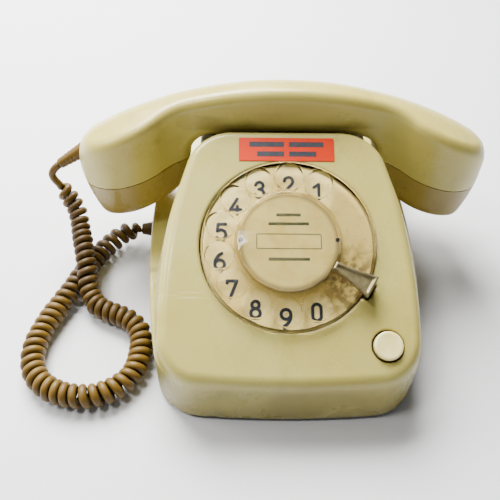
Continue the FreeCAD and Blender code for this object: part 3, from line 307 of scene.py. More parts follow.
def housing_field(x, y, z):
    """Hollow housing, open below, with the dial's well, the stop's notch and the small holes."""
    outer, along, out = housing_outside(x, y, z)
    shell = np.maximum(np.maximum(outer, 1.6 - z), -WALL - outer)
    well = np.maximum(np.sqrt(x ** 2 + along ** 2) - 44.2, -14.0 - out)
    shell = both(shell, -well, 0.8)
    radial = x * math.cos(STOP_TURN) + along * math.sin(STOP_TURN)
    cross = along * math.cos(STOP_TURN) - x * math.sin(STOP_TURN)
    notch = np.maximum(np.abs(cross) - 4.6, np.abs(radial - 43.9) - 3.7)
    notch = np.maximum(notch, -14.0 - out)
    shell = both(shell, -notch, 0.5)
    hole = np.sqrt((x - BUTTON[0]) ** 2 + (along - BUTTON[1]) ** 2) - 7.7
    shell = both(shell, -np.maximum(hole, -12.0 - out), 0.5)
    gland = np.maximum(np.sqrt((y - GLAND_Y) ** 2 + (z - GLAND_Z) ** 2) - INLET_R, x + 60.0)
    inlet = np.maximum(np.sqrt((x - INLET_X) ** 2 + (z - INLET_Z) ** 2) - INLET_R, 80.0 - y)
    pins = np.sqrt((np.abs(x) - PIN_X) ** 2 + (y - HANDSET_Y) ** 2) - PIN_R
    openings = np.minimum(np.minimum(gland, inlet), np.maximum(pins, 75.0 - z))
    return np.maximum(shell, -openings)


def make_housing():
    return surface("housing", (-79, -103, -2), (79, 103, 97), 0.8, housing_field)


# ---------------------------------------------------------------- handset
def handset_field(x, y, z):
    """Whole handset: two round heads on a bar, crowned on top and hollowed underneath."""
    ax, ay = np.abs(x), np.abs(y - HANDSET_Y)
    to_neck = NECK_R - np.sqrt((ax - NECK_X) ** 2 + (ay - NECK_Y) ** 2)
    head = np.sqrt((ax - HEAD_X) ** 2 + ay ** 2) - HEAD_R
    neck_side = (ax > NECK_X) & ((HEAD_X - NECK_X) * (NECK_Y - ay) > NECK_Y * (ax - NECK_X))
    plan = np.where(ax <= NECK_X, ay - BAR_HALF, np.where(neck_side, to_neck, head))
    fall = CROWN_R - np.sqrt(CROWN_R ** 2 - np.clip(y - CROWN_Y, 0, CROWN_RUN) ** 2)
    fall = fall + 0.88 * np.maximum(y - (CROWN_Y + CROWN_RUN), 0)
    steep = np.clip((y - CROWN_Y) / 30.0, 0, 0.9)
    top = (np.sqrt(x ** 2 + (z + ARCH_DEPTH) ** 2) - ARCH_R + fall) / np.sqrt(1 + steep ** 2)
    top = both(top, ax - 121.5, 17.0)
    below = np.sqrt(x ** 2 + (z + HOLLOW_DEPTH) ** 2) - HOLLOW_R
    void = both(below, ax - 51.5 - 0.30 * np.maximum(70.6 - z, 0), 11.0)
    seam = seam_height(ax, z)
    chamfer = 0.806 * (ax - 116.5) - 0.592 * (z - 52.0)
    shape = both(plan, top, 5.5)
    shape = both(shape, -void, 5.0)
    return both(both(shape, -21.0 - seam, 6.0), chamfer, 7.0)


def seam_height(ax, z):
    """Height over the tilted plane that the caps' seams run along."""
    return math.sin(SEAM_TURN) * (ax - 56.0) + math.cos(SEAM_TURN) * (z - 69.41)


def cut_off(obj, point, normal, name=None):
    """Keep the side of the plane that the normal points away from; point in mm."""
    mesh = obj.data.copy()
    work = bmesh.new()
    work.from_mesh(mesh)
    geom = work.verts[:] + work.edges[:] + work.faces[:]
    cut = bmesh.ops.bisect_plane(work, geom=geom, plane_co=Vector(point) * MM,
                                 plane_no=Vector(normal), clear_outer=True, dist=1e-7)
    rim = [e for e in cut["geom_cut"] if isinstance(e, bmesh.types.BMEdge)]
    bmesh.ops.holes_fill(work, edges=rim, sides=0)
    for edge in rim:
        edge.smooth = False
    work.to_mesh(mesh)
    work.free()
    piece = bpy.data.objects.new(name or obj.name, mesh)
    bpy.context.scene.collection.objects.link(piece)
    return piece


def drop(*objs):
    for obj in objs:
        bpy.data.objects.remove(obj)


def make_handset():
    """Body, rear cover and the two caps, cut from one smooth shape along the real seams."""
    whole = surface("handset_whole", (-118, 5, 28), (118, 68, 114), 0.75, handset_field)
    sin, cos = math.sin(SEAM_TURN), math.cos(SEAM_TURN)
    pieces = []
    for side, name in ((-1, "mouthpiece_cap"), (1, "earpiece_cap")):
        half = cut_off(whole, (side * SPLIT_X, 0, 0), (-side, 0, 0))
        pieces.append(cut_off(half, (side * SEAM_X, 0, CAP_TOP_Z), (side * sin, 0, cos), name))
        drop(half)
    half = cut_off(whole, (SPLIT_X, 0, 0), (1, 0, 0))
    tops = [cut_off(half, (-SPLIT_X, 0, 0), (-1, 0, 0))]
    drop(half)
    for side in (-1, 1):
        half = cut_off(whole, (side * SPLIT_X, 0, 0), (-side, 0, 0))
        tops.append(cut_off(half, (side * SEAM_X, 0, BODY_FOOT_Z), (-side * sin, 0, -cos)))
        drop(half)
    body = join("handset_body", tops)
    front = cut_off(body, (0, COVER_Y - COVER_GAP, 0), (0, 1, 0), "handset_front")
    rear = cut_off(body, (0, COVER_Y + COVER_GAP, 0), (0, -1, 0), "handset_rear")
    drop(whole, body)
    return front, rear, pieces[0], pieces[1]


def join(name, objs):
    """One mesh from several that share cut edges; the flat caps on the cuts go away."""
    work = bmesh.new()
    for obj in objs:
        work.from_mesh(obj.data)
    flat = [f for f in work.faces if abs(f.normal.x) > 0.9999
            and abs(abs(f.calc_center_median().x) - SPLIT_X * MM) < 1e-6]
    bmesh.ops.delete(work, geom=flat, context="FACES_ONLY")
    bmesh.ops.remove_doubles(work, verts=work.verts, dist=2e-6)
    mesh = bpy.data.meshes.new(name)
    for edge in work.edges:
        edge.smooth = True
    work.to_mesh(mesh)
    work.free()
    mesh.shade_smooth()
    piece = bpy.data.objects.new(name, mesh)
    bpy.context.scene.collection.objects.link(piece)
    drop(*objs)
    return piece


# ---------------------------------------------------------------- turned and flat pieces
def lathe(name, profile, steps=96, matrix=FACE, centre=(0.0, 0.0)):
    """Turned piece from (radius, height) points in mm, about the frame's own Z."""
    count = len(profile)
    verts, faces = [], []
    for i in range(steps):
        turn = 2 * math.pi * i / steps
        for r, h in profile:
            verts.append((centre[0] + r * math.cos(turn), centre[1] + r * math.sin(turn), h))
    for i in range(steps):
        n = (i + 1) % steps
        for k in range(count - 1):
            faces.append((i * count + k, n * count + k, n * count + k + 1, i * count + k + 1))
    obj = mesh_object(name, verts, faces, matrix=matrix)
    work = bmesh.new()
    work.from_mesh(obj.data)
    bmesh.ops.remove_doubles(work, verts=work.verts, dist=1e-7)
    bmesh.ops.recalc_face_normals(work, faces=work.faces)
    for edge in work.edges:
        if edge.is_manifold and edge.calc_face_angle(0) > math.radians(38):
            edge.smooth = False
    work.to_mesh(obj.data)
    work.free()
    return obj


def rounded(points, r, steps=4):
    """Profile with each inner corner replaced by a small arc."""
    result = [points[0]]
    for a, b, c in zip(points, points[1:], points[2:]):
        a, b, c = (np.array(p, float) for p in (a, b, c))
        la, lc = np.linalg.norm(a - b), np.linalg.norm(c - b)
        if min(la, lc) < 1e-6:
            continue
        cut = min(r, 0.45 * la, 0.45 * lc)
        start, end = b + (a - b) / la * cut, b + (c - b) / lc * cut
        for t in np.linspace(0, 1, steps + 1):
            result.append(tuple((1 - t) ** 2 * start + 2 * t * (1 - t) * b + t ** 2 * end))
    result.append(points[-1])
    return result


def polar(radius, degrees, centre=(0.0, 0.0)):
    turn = math.radians(degrees)
    return centre[0] + radius * math.cos(turn), centre[1] + radius * math.sin(turn)


def circle(radius, steps, centre=(0.0, 0.0)):
    turns = [2 * math.pi * k / steps for k in range(steps)]
    return [(centre[0] + radius * math.cos(t), centre[1] + radius * math.sin(t)) for t in turns]


def flat_piece(name, loops, z0, z1, bevel, matrix=FACE):
    """Flat plate between two heights with rounded edges; the first loop is its outline."""
    curve = bpy.data.curves.new(name, "CURVE")
    curve.dimensions, curve.fill_mode = "2D", "BOTH"
    curve.extrude = (z1 - z0) / 2 - bevel
    curve.bevel_depth, curve.bevel_resolution = bevel, 2
    for loop in loops:
        spline = curve.splines.new("POLY")
        spline.points.add(len(loop) - 1)
        for point, (x, y) in zip(spline.points, loop):
            point.co = (x, y, 0, 1)
        spline.use_cyclic_u = True
    holder = bpy.data.objects.new(name, curve)
    mesh = bpy.data.meshes.new_from_object(holder)
    bpy.data.objects.remove(holder)
    mesh.transform(Matrix.Translation((0, 0, (z0 + z1) / 2)))
    mesh.transform(matrix)
    work = bmesh.new()
    work.from_mesh(mesh)
    bmesh.ops.remove_doubles(work, verts=work.verts, dist=1e-6)
    bmesh.ops.recalc_face_normals(work, faces=work.faces)
    for face in work.faces:
        face.smooth = True
    for edge in work.edges:
        if edge.is_manifold and edge.calc_face_angle(0) > math.radians(30):
            edge.smooth = False
    work.to_mesh(mesh)
    work.free()
    obj = bpy.data.objects.new(name, mesh)
    bpy.context.scene.collection.objects.link(obj)
    return obj


HOLES = [polar(PITCH_R, FIRST_HOLE + HOLE_STEP * k) for k in range(10)]


def make_wheel():
    low, high, bevel = 1.2, 4.0, 0.5
    loops = [circle(WHEEL_R - bevel, 144)]
    loops += [circle(HOLE_R + bevel, 48, c) for c in HOLES]
    return flat_piece("wheel_plate", loops, low, high, bevel)


def make_hole_rims():
    profile = rounded([(8.15, 3.9), (8.0, 4.45), (7.2, 4.5), (7.1, 3.8), (7.1, 1.6)], 0.35)
    rims = [lathe("rim", profile, 48, FACE, c) for c in HOLES]
    return merge("hole_rims", rims)


def merge(name, objs):
    """One piece from several that stay as separate shells."""
    work = bmesh.new()
    for obj in objs:
        work.from_mesh(obj.data)
    mesh = bpy.data.meshes.new(name)
    work.to_mesh(mesh)
    work.free()
    piece = bpy.data.objects.new(name, mesh)
    bpy.context.scene.collection.objects.link(piece)
    drop(*objs)
    return piece


def dome(top, count, edge):
    """Points of a shallow dome, from its middle out to a radius."""
    ball = (CAP_R ** 2 + CAP_RISE ** 2) / (2 * CAP_RISE)
    return [(r, top - ball + math.sqrt(ball ** 2 - r ** 2)) for r in np.linspace(0.0, edge, count)]


def make_cap():
    outside = dome(8.6, 18, 25.2)
    rim = [outside[-1], (CAP_R, 5.85), (CAP_R, 4.15), (24.8, 4.15), (24.8, 4.5)]
    outside += rounded(rim, 0.5)[1:]
    inside = dome(7.35, 14, 24.6)[::-1]
    return lathe("cap_dome", outside + inside, 120)


def make_ring():
    profile = rounded([(12.0, -3.6), (12.0, -2.0), (26.6, -2.0), (26.9, -1.75), (27.2, -2.0),
                       (42.3, -2.0), (42.6, -3.4), (43.8, -3.4), (43.8, -3.6), (12.0, -3.6)], 0.25)
    return lathe("number_ring", profile, 144)


def make_card():
    radius, low, high = 24.2, 4.25, 4.55
    return lathe("paper_card", [(0.0, high), (radius, high), (radius, low), (0.0, low)], 96)


def strips(name, boxes, z, thick=0.04):
    """Thin printed bars on the face: (x, y, width, height) about their centres."""
    verts, faces = [], []
    for x, y, w, h in boxes:
        n = len(verts)
        for dz in (z, z + thick):
            verts += [(x - w / 2, y - h / 2, dz), (x + w / 2, y - h / 2, dz),
                      (x + w / 2, y + h / 2, dz), (x - w / 2, y + h / 2, dz)]
        faces += [(n, n + 3, n + 2, n + 1), (n + 4, n + 5, n + 6, n + 7), (n, n + 1, n + 5, n + 4),
                  (n + 1, n + 2, n + 6, n + 5), (n + 2, n + 3, n + 7, n + 6), (n + 3, n, n + 4, n + 7)]
    return mesh_object(name, verts, faces, smooth=False, matrix=FACE)


def make_card_print():
    """A blank number box, with plain bars above and below it."""
    frame_w, frame_h, line = 31.5, 7.4, 0.42
    boxes = [(0, frame_h / 2, frame_w, line), (0, -frame_h / 2, frame_w, line),
             (-frame_w / 2, 0, line, frame_h), (frame_w / 2, 0, line, frame_h)]
    boxes += [(0, 9.0, 20.0, 1.5), (0, 13.6, 12.0, 1.5), (0, -9.0, 20.0, 1.5)]
    return strips("card_print", boxes, 4.56)


def make_sticker():
    """Flat label with small round corners, stuck on the face above the dial."""
    half_w, low, high, r = 24.7, 44.7, 57.7, 0.6
    loop = []
    for centre, start in (((half_w - r, high - r), 0), ((r - half_w, high - r), 90),
                          ((r - half_w, low + r), 180), ((half_w - r, low + r), 270)):
        loop += [polar(r, start + a, centre) for a in range(0, 91, 18)]
    return flat_piece("orange_label", [loop], 0.03, 0.29, 0.05)


def make_sticker_print():
    """Two rows of plain bars."""
    height, gap = 2.9, 2.6
    boxes = []
    for y, widths, start in ((54.0, (18.0, 18.0), -19.3), (48.6, (14.0, 14.0), -15.3)):
        x = start
        for width in widths:
            boxes.append((x + width / 2, y, width, height))
            x += width + gap
    return strips("label_print", boxes, 0.295, 0.02)


def make_button():
    profile = rounded([(0.0, 2.15), (3.5, 2.25), (6.0, 2.4), (BUTTON_R, 2.0), (BUTTON_R, -6.8), (2.4, -6.9),
                       (2.4, -15.9), (0.0, -15.9)], 0.55)
    return lathe("button_cap", profile, 72, FACE, BUTTON)


def make_stop():
    """Pressed metal arm with a raised rim, narrow over the cap and broad at its foot."""
    inner, outer, low, high = 24.9, 45.8, 6.6, 9.9
    tip_half, flare = 1.9, 3.8
    rim_drop, dish_depth = 0.7, 1.0
    rows, cols = 48, 25
    verts, faces = [], []
    for level in (0, 1):
        for i in range(rows):
            r = inner + (outer - inner) * i / (rows - 1)
            along = (r - inner) / (outer - inner)
            half = tip_half + flare * along ** 1.4
            for k in range(cols):
                t = math.sin(math.radians(-90 + 180 * k / (cols - 1)))
                edge = min(half * (1 - abs(t)), (r - inner) * 0.9, (outer - r) * 0.9)
                rim = min(edge / 0.55, 1.0)
                dish = min(max((edge - 1.0) / 0.7, 0.0), 1.0)
                top = high - rim_drop * (1 - rim) ** 2 - dish_depth * dish * dish * (3 - 2 * dish)
                turned = (r * math.cos(STOP_TURN) - half * t * math.sin(STOP_TURN),
                          r * math.sin(STOP_TURN) + half * t * math.cos(STOP_TURN))
                verts.append((*turned, top if level else low))
    grid = rows * cols
    for i in range(rows - 1):
        for k in range(cols - 1):
            a = i * cols + k
            faces.append((grid + a, grid + a + cols, grid + a + cols + 1, grid + a + 1))
            faces.append((a, a + 1, a + cols + 1, a + cols))
    ring = list(range(cols)) + [i * cols + cols - 1 for i in range(1, rows)]
    ring += [(rows - 1) * cols + k for k in range(cols - 2, -1, -1)]
    ring += [i * cols for i in range(rows - 2, 0, -1)]
    for a, b in zip(ring, ring[1:] + ring[:1]):
        faces.append((a, a + grid, b + grid, b))
    arm = mesh_object("stop_arm", verts, faces, matrix=FACE)
    turn = FACE @ Matrix.Rotation(STOP_TURN, 4, "Z")
    profile = [(outer - 1.2, -3.4), (outer, -3.4), (outer, 3.4), (outer - 1.2, 3.4)]
    foot = flat_piece("stop_foot", [profile], -9.0, 8.0, 0.2, turn)
    return merge("finger_stop_arm", [arm, foot])


def make_cap_holes():
    """Two small dark spots with raised rims, at the left and right of the clear cap."""
    profile = [(0.0, 6.2), (0.75, 6.2), (0.85, 6.62), (1.05, 6.66), (1.1, 6.5), (1.1, 6.0), (0.0, 6.0)]
    return merge("cap_holes", [lathe("hole", profile, 24, FACE, (x, 0.4)) for x in (-23.6, 23.6)])


def make_spring():
    """Return spring under the button, as a wire coil."""
    low, high, turns, radius, wire_r = -12.3, -7.25, 4.5, 4.0, 0.4
    path = []
    for share in np.linspace(0, 1, 160):
        turn = 2 * math.pi * turns * share
        spot = Vector((BUTTON[0] + radius * math.cos(turn), BUTTON[1] + radius * math.sin(turn),
                       low + 0.45 + (high - low - 0.9) * share))
        path.append(tuple(FACE @ spot / MM))
    return tube_mesh("spring_coil", np.array(path), wire_r, 10)


def along_axis(start, tip):
    """Frame whose Z runs from start to tip; mm to metres."""
    start, tip = Vector(start), Vector(tip)
    turn = (tip - start).to_track_quat("Z", "Y").to_matrix().to_4x4()
    return Matrix.Translation(start * MM) @ turn @ Matrix.Scale(MM, 4)


def make_boot():
    """Ribbed strain relief that tapers from the mouthpiece to the cord."""
    start, tip = (-111.0, 36.5, 67.0), (-128.5, 32.0, 57.5)
    length = (Vector(tip) - Vector(start)).length
    ribs, points = 7, 24
    profile = [(0.0, -1.0), (4.6, -1.0), (4.6, 1.0)]
    for k in range(points):
        share = k / (points - 1)
        wave = 0.16 * math.cos(share * ribs * 2 * math.pi) if share < 0.8 else 0.0
        profile.append((4.55 - 1.5 * share + wave - 0.1, 1.2 + share * (length - 1.6)))
    profile += [(2.75, length), (0.0, length)]
    return lathe("cord_boot", profile, 40, along_axis(start, tip))


def make_gland():
    profile = rounded([(0.0, 0.0), (6.1, 0.0), (6.1, 1.7), (4.95, 1.8), (4.95, 6.0), (5.9, 6.1),
                       (5.9, 7.4), (4.7, 7.6), (3.4, 14.9), (2.4, 15.1), (0.0, 15.1)], 0.4)
    return lathe("cord_gland", profile, 48, along_axis((-70.4, GLAND_Y, GLAND_Z), (-90.0, GLAND_Y, GLAND_Z)))


# ---------------------------------------------------------------- materials
BUMP_DEPTH = 0.0002     # metres


class Nodes:
    """Small helper that adds and joins shader nodes. Noise scales are per metre of the object."""

    def __init__(self, name):
        self.material = bpy.data.materials.new(name)
        self.material.use_nodes = True
        self.tree = self.material.node_tree
        self.shader = self.tree.nodes["Principled BSDF"]
        self.place = self.add("ShaderNodeTexCoord").outputs["Object"]

    def add(self, kind, **facts):
        node = self.tree.nodes.new(kind)
        for key, value in facts.items():
            setattr(node, key, value)
        return node

    def put(self, socket, value):
        if isinstance(value, bpy.types.NodeSocket):
            self.tree.links.new(value, socket)
        else:
            socket.default_value = value

    def noise(self, scale, detail=4.0, rough=0.55, stretch=None, shift=0.0):
        node = self.add("ShaderNodeTexNoise")
        place = self.place
        if stretch or shift:
            mapping = self.add("ShaderNodeMapping")
            self.put(mapping.inputs["Vector"], place)
            mapping.inputs["Scale"].default_value = stretch or (1, 1, 1)
            mapping.inputs["Location"].default_value = (shift, shift * 0.7, shift * 1.3)
            mapping.inputs["Rotation"].default_value = (0, 0, shift)
            place = mapping.outputs["Vector"]
        self.put(node.inputs["Vector"], place)
        node.inputs["Scale"].default_value = scale
        node.inputs["Detail"].default_value = detail
        node.inputs["Roughness"].default_value = rough
        return node.outputs["Fac"]

    def ramp(self, value, low, high, to_low=0.0, to_high=1.0):
        node = self.add("ShaderNodeMapRange")
        node.interpolation_type = "SMOOTHSTEP"
        self.put(node.inputs["Value"], value)
        for name, number in (("From Min", low), ("From Max", high),
                             ("To Min", to_low), ("To Max", to_high)):
            node.inputs[name].default_value = number
        return node.outputs["Result"]

    def math(self, kind, a, b=0.5):
        node = self.add("ShaderNodeMath", operation=kind)
        self.put(node.inputs[0], a)
        self.put(node.inputs[1], b)
        return node.outputs[0]

    def blend(self, factor, a, b):
        node = self.add("ShaderNodeMix", data_type="RGBA")
        self.put(node.inputs["Factor"], factor)
        self.put(node.inputs[6], a if isinstance(a, bpy.types.NodeSocket) else (*a, 1.0))
        self.put(node.inputs[7], b if isinstance(b, bpy.types.NodeSocket) else (*b, 1.0))
        return node.outputs[2]

    def corner_shade(self, distance):
        """One in tight corners, zero on open surfaces: the mask for painted shade."""
        node = self.add("ShaderNodeAmbientOcclusion", samples=6)
        node.inputs["Distance"].default_value = distance
        return self.ramp(node.outputs["AO"], 0.25, 0.85, 1.0, 0.0)

    def bump(self, height, strength):
        node = self.add("ShaderNodeBump")
        node.inputs["Strength"].default_value = strength
        node.inputs["Distance"].default_value = BUMP_DEPTH
        self.put(node.inputs["Height"], height)
        self.put(self.shader.inputs["Normal"], node.outputs["Normal"])

    def set(self, **sockets):
        names = {"color": "Base Color", "rough": "Roughness", "metal": "Metallic",
                 "coat": "Coat Weight", "ior": "IOR", "clear": "Transmission Weight",
                 "spec": "Specular IOR Level"}
        for key, value in sockets.items():
            if key == "color" and isinstance(value, tuple):
                value = (*value, 1.0)
            self.put(self.shader.inputs[names[key]], value)


def aged_plastic(name, clean, worn, dirt_and_shade, rough, grime_and_shade):
    """Old moulded plastic: uneven yellowing, stains and specks, painted shade in the corners and low down,
    faint scuffs and dull patches.
    """
    scuffing, scratching = 0.336, 0.44      # how strongly the marks show
    n = Nodes(name)
    patches = n.ramp(n.noise(14.0, 5.0, 0.6), 0.38, 0.68)
    smears = n.ramp(n.noise(46.0, 6.0, 0.65, (1.0, 0.45, 1.0), 0.8), 0.52, 0.80)
    colour = n.blend(patches, clean, worn)
    colour = n.blend(n.math("MULTIPLY", smears, 0.34), colour, dirt_and_shade)
    specks = n.ramp(n.noise(620.0, 2.0, 0.5), 0.74, 0.80, 0.0, 0.55)
    colour = n.blend(n.math("MULTIPLY", specks, n.ramp(n.noise(31.0, 2.0), 0.45, 0.7)), colour, dirt_and_shade)
    # Painted shade: darker where the surface is occluded, in corners and creases.
    colour = n.blend(n.math("MULTIPLY", n.corner_shade(0.006), grime_and_shade), colour, dirt_and_shade)
    scuff = n.ramp(n.noise(120.0, 3.0, 0.6, (0.06, 1.0, 0.6), 1.7), 0.61, 0.67)
    scuff = n.math("MULTIPLY", scuff, n.ramp(n.noise(25.0, 2.0), 0.5, 0.66))
    colour = n.blend(n.math("MULTIPLY", scuff, scuffing), colour, (0.86, 0.78, 0.40))
    scratch = n.ramp(n.noise(75.0, 2.0, 0.5, (0.05, 1.0, 0.5), 2.4), 0.665, 0.69)
    scratch = n.math("MULTIPLY", scratch, n.ramp(n.noise(19.0, 2.0, 0.5, None, 4.0), 0.5, 0.62))
    colour = n.blend(n.math("MULTIPLY", scratch, scratching), colour, dirt_and_shade)
    # Painted shade: the colour darkens towards the bottom, below about 36 mm, with a noisy strength.
    height_above = n.add("ShaderNodeSeparateXYZ")
    n.put(height_above.inputs[0], n.place)
    low = n.ramp(height_above.outputs["Z"], 0.036, 0.024)
    low = n.math("MULTIPLY", low, n.ramp(n.noise(33.0, 5.0, 0.6), 0.3, 0.7, 0.38, 0.66))
    colour = n.blend(low, colour, dirt_and_shade)
    gloss = n.ramp(n.noise(38.0, 5.0, 0.6), 0.3, 0.75, rough - 0.07, rough + 0.14)
    gloss = n.math("ADD", gloss, n.math("MULTIPLY", scuff, 0.2))
    n.set(color=colour, rough=gloss, spec=0.45)
    n.shader.inputs["Subsurface Weight"].default_value = 0.06
    n.shader.inputs["Subsurface Radius"].default_value = (0.003, 0.002, 0.001)
    height = n.math("ADD", n.noise(900.0, 2.0), n.math("MULTIPLY", n.noise(70.0, 2.0), 1.5))
    n.bump(height, 0.10)
    return n.material


def plain(name, colour, dark, rough=0.5, metal=0.0, grime_and_shade=0.5, scale=60.0, bump=0.15, **more):
    """Simple finish with uneven colour, painted shade in corners and uneven gloss."""
    n = Nodes(name)
    tone = n.blend(n.ramp(n.noise(scale, 5.0), 0.35, 0.7), colour, dark)
    # Painted shade: a much darker tone where the surface is occluded.
    tone = n.blend(n.math("MULTIPLY", n.corner_shade(0.003), grime_and_shade), tone, tuple(c * 0.25 for c in dark))
    n.set(color=tone, metal=metal,
          rough=n.ramp(n.noise(scale * 2.3, 4.0), 0.3, 0.7, rough - 0.08, rough + 0.12), **more)
    n.bump(n.noise(scale * 12, 3.0), bump)
    return n.material


def clear_plastic(name, tint, haze=0.05, ior=1.3):
    """Clear old plastic with fine hairline scratches and hazy patches."""
    n = Nodes(name)
    hair = n.ramp(n.noise(260.0, 2.0, 0.5, (0.05, 1.0, 1.0), 0.5), 0.62, 0.66)
    hair2 = n.ramp(n.noise(240.0, 2.0, 0.5, (1.0, 0.05, 1.0), 1.1), 0.63, 0.67)
    lines = n.math("MAXIMUM", hair, hair2)
    film = n.ramp(n.noise(55.0, 5.0, 0.6), 0.45, 0.75, 0.0, haze)
    rough = n.math("ADD", film, n.math("MULTIPLY", lines, 0.16))
    n.set(color=n.blend(n.ramp(n.noise(40.0, 4.0), 0.4, 0.75), tint, tuple(c * 0.88 for c in tint)),
          rough=n.math("ADD", rough, 0.02), clear=1.0, ior=ior)
    n.bump(lines, 0.08)
    return n.material


def cord_vinyl():
    """Dark brown jacket, paler in worn patches, with painted shade between the turns."""
    n = Nodes("cord_vinyl")
    tone = n.blend(n.ramp(n.noise(22.0, 4.0), 0.35, 0.7), (0.140, 0.078, 0.009), (0.066, 0.034, 0.006))
    tone = n.blend(n.ramp(n.noise(180.0, 4.0), 0.55, 0.8, 0.0, 0.4), tone, (0.26, 0.150, 0.03))
    # Painted shade between the turns, where the surface is occluded.
    tone = n.blend(n.math("MULTIPLY", n.corner_shade(0.004), 0.8), tone, (0.014, 0.008, 0.003))
    n.set(color=tone, rough=n.ramp(n.noise(90.0, 3.0), 0.3, 0.7, 0.34, 0.55), spec=0.3)
    n.bump(n.noise(700.0, 2.0), 0.12)
    return n.material


def dial_ring_paint():
    """Pale ring under the clear wheel, dusty all over and rubbed dark near the finger stop."""
    n = Nodes("dial_ring_paint")
    tone = n.blend(n.ramp(n.noise(60.0, 5.0), 0.4, 0.7), (0.95, 0.76, 0.27), (0.84, 0.62, 0.18))
    dust = n.ramp(n.noise(420.0, 4.0, 0.7), 0.56, 0.74, 0.0, 0.6)
    tone = n.blend(dust, tone, (0.36, 0.23, 0.07))
    near = n.add("ShaderNodeVectorMath", operation="DISTANCE")
    n.put(near.inputs[0], n.place)
    near.inputs[1].default_value = (0.031, -0.055, 0.056)
    rubbed = n.math("MULTIPLY", n.ramp(near.outputs["Value"], 0.024, 0.005),
                    n.ramp(n.noise(240.0), 0.35, 0.6))
    tone = n.blend(rubbed, tone, (0.20, 0.12, 0.035))
    # Painted shade in tight corners, where the surface is occluded.
    tone = n.blend(n.corner_shade(0.003), tone, (0.030, 0.018, 0.006))
    n.set(color=tone, rough=n.ramp(n.noise(80.0), 0.3, 0.7, 0.42, 0.6))
    n.bump(n.noise(800.0, 2.0), 0.1)
    return n.material


def card_paper():
    """Yellowed number card with dirt that has settled along its lower edge."""
    n = Nodes("old_card")
    tone = n.blend(n.ramp(n.noise(120.0, 5.0), 0.4, 0.7), (0.95, 0.80, 0.30), (0.88, 0.68, 0.21))
    place = n.add("ShaderNodeSeparateXYZ")
    n.put(place.inputs[0], n.place)
    low = n.ramp(place.outputs["Z"], 0.0592, 0.0545)
    grime_and_shade = n.math("MULTIPLY", low, n.ramp(n.noise(170.0, 5.0), 0.38, 0.62))
    tone = n.blend(grime_and_shade, tone, (0.22, 0.12, 0.035))
    rim = n.add("ShaderNodeVectorMath", operation="DISTANCE")
    n.put(rim.inputs[0], n.place)
    rim.inputs[1].default_value = tuple((DIAL + Vector((0, -2, 4))) * MM)
    tone = n.blend(n.ramp(rim.outputs["Value"], 0.0215, 0.0243, 0.0, 0.8), tone, (0.26, 0.16, 0.05))
    n.set(color=tone, rough=0.7)
    n.bump(n.noise(900.0, 3.0), 0.15)
    return n.material


def label_paper():
    """Orange label, rubbed paler in streaks."""
    n = Nodes("label_paper")
    tone = n.blend(n.ramp(n.noise(90.0, 5.0), 0.4, 0.75), (0.600, 0.028, 0.001), (0.540, 0.022, 0.001))
    rub = n.ramp(n.noise(330.0, 3.0, 0.6, (0.2, 1.0, 1.0), 0.4), 0.66, 0.74, 0.0, 0.5)
    tone = n.blend(rub, tone, (0.72, 0.06, 0.01))
    n.set(color=tone, rough=n.ramp(n.noise(100.0), 0.3, 0.7, 0.45, 0.65), spec=0.15)
    n.bump(n.noise(500.0, 3.0), 0.12)
    return n.material


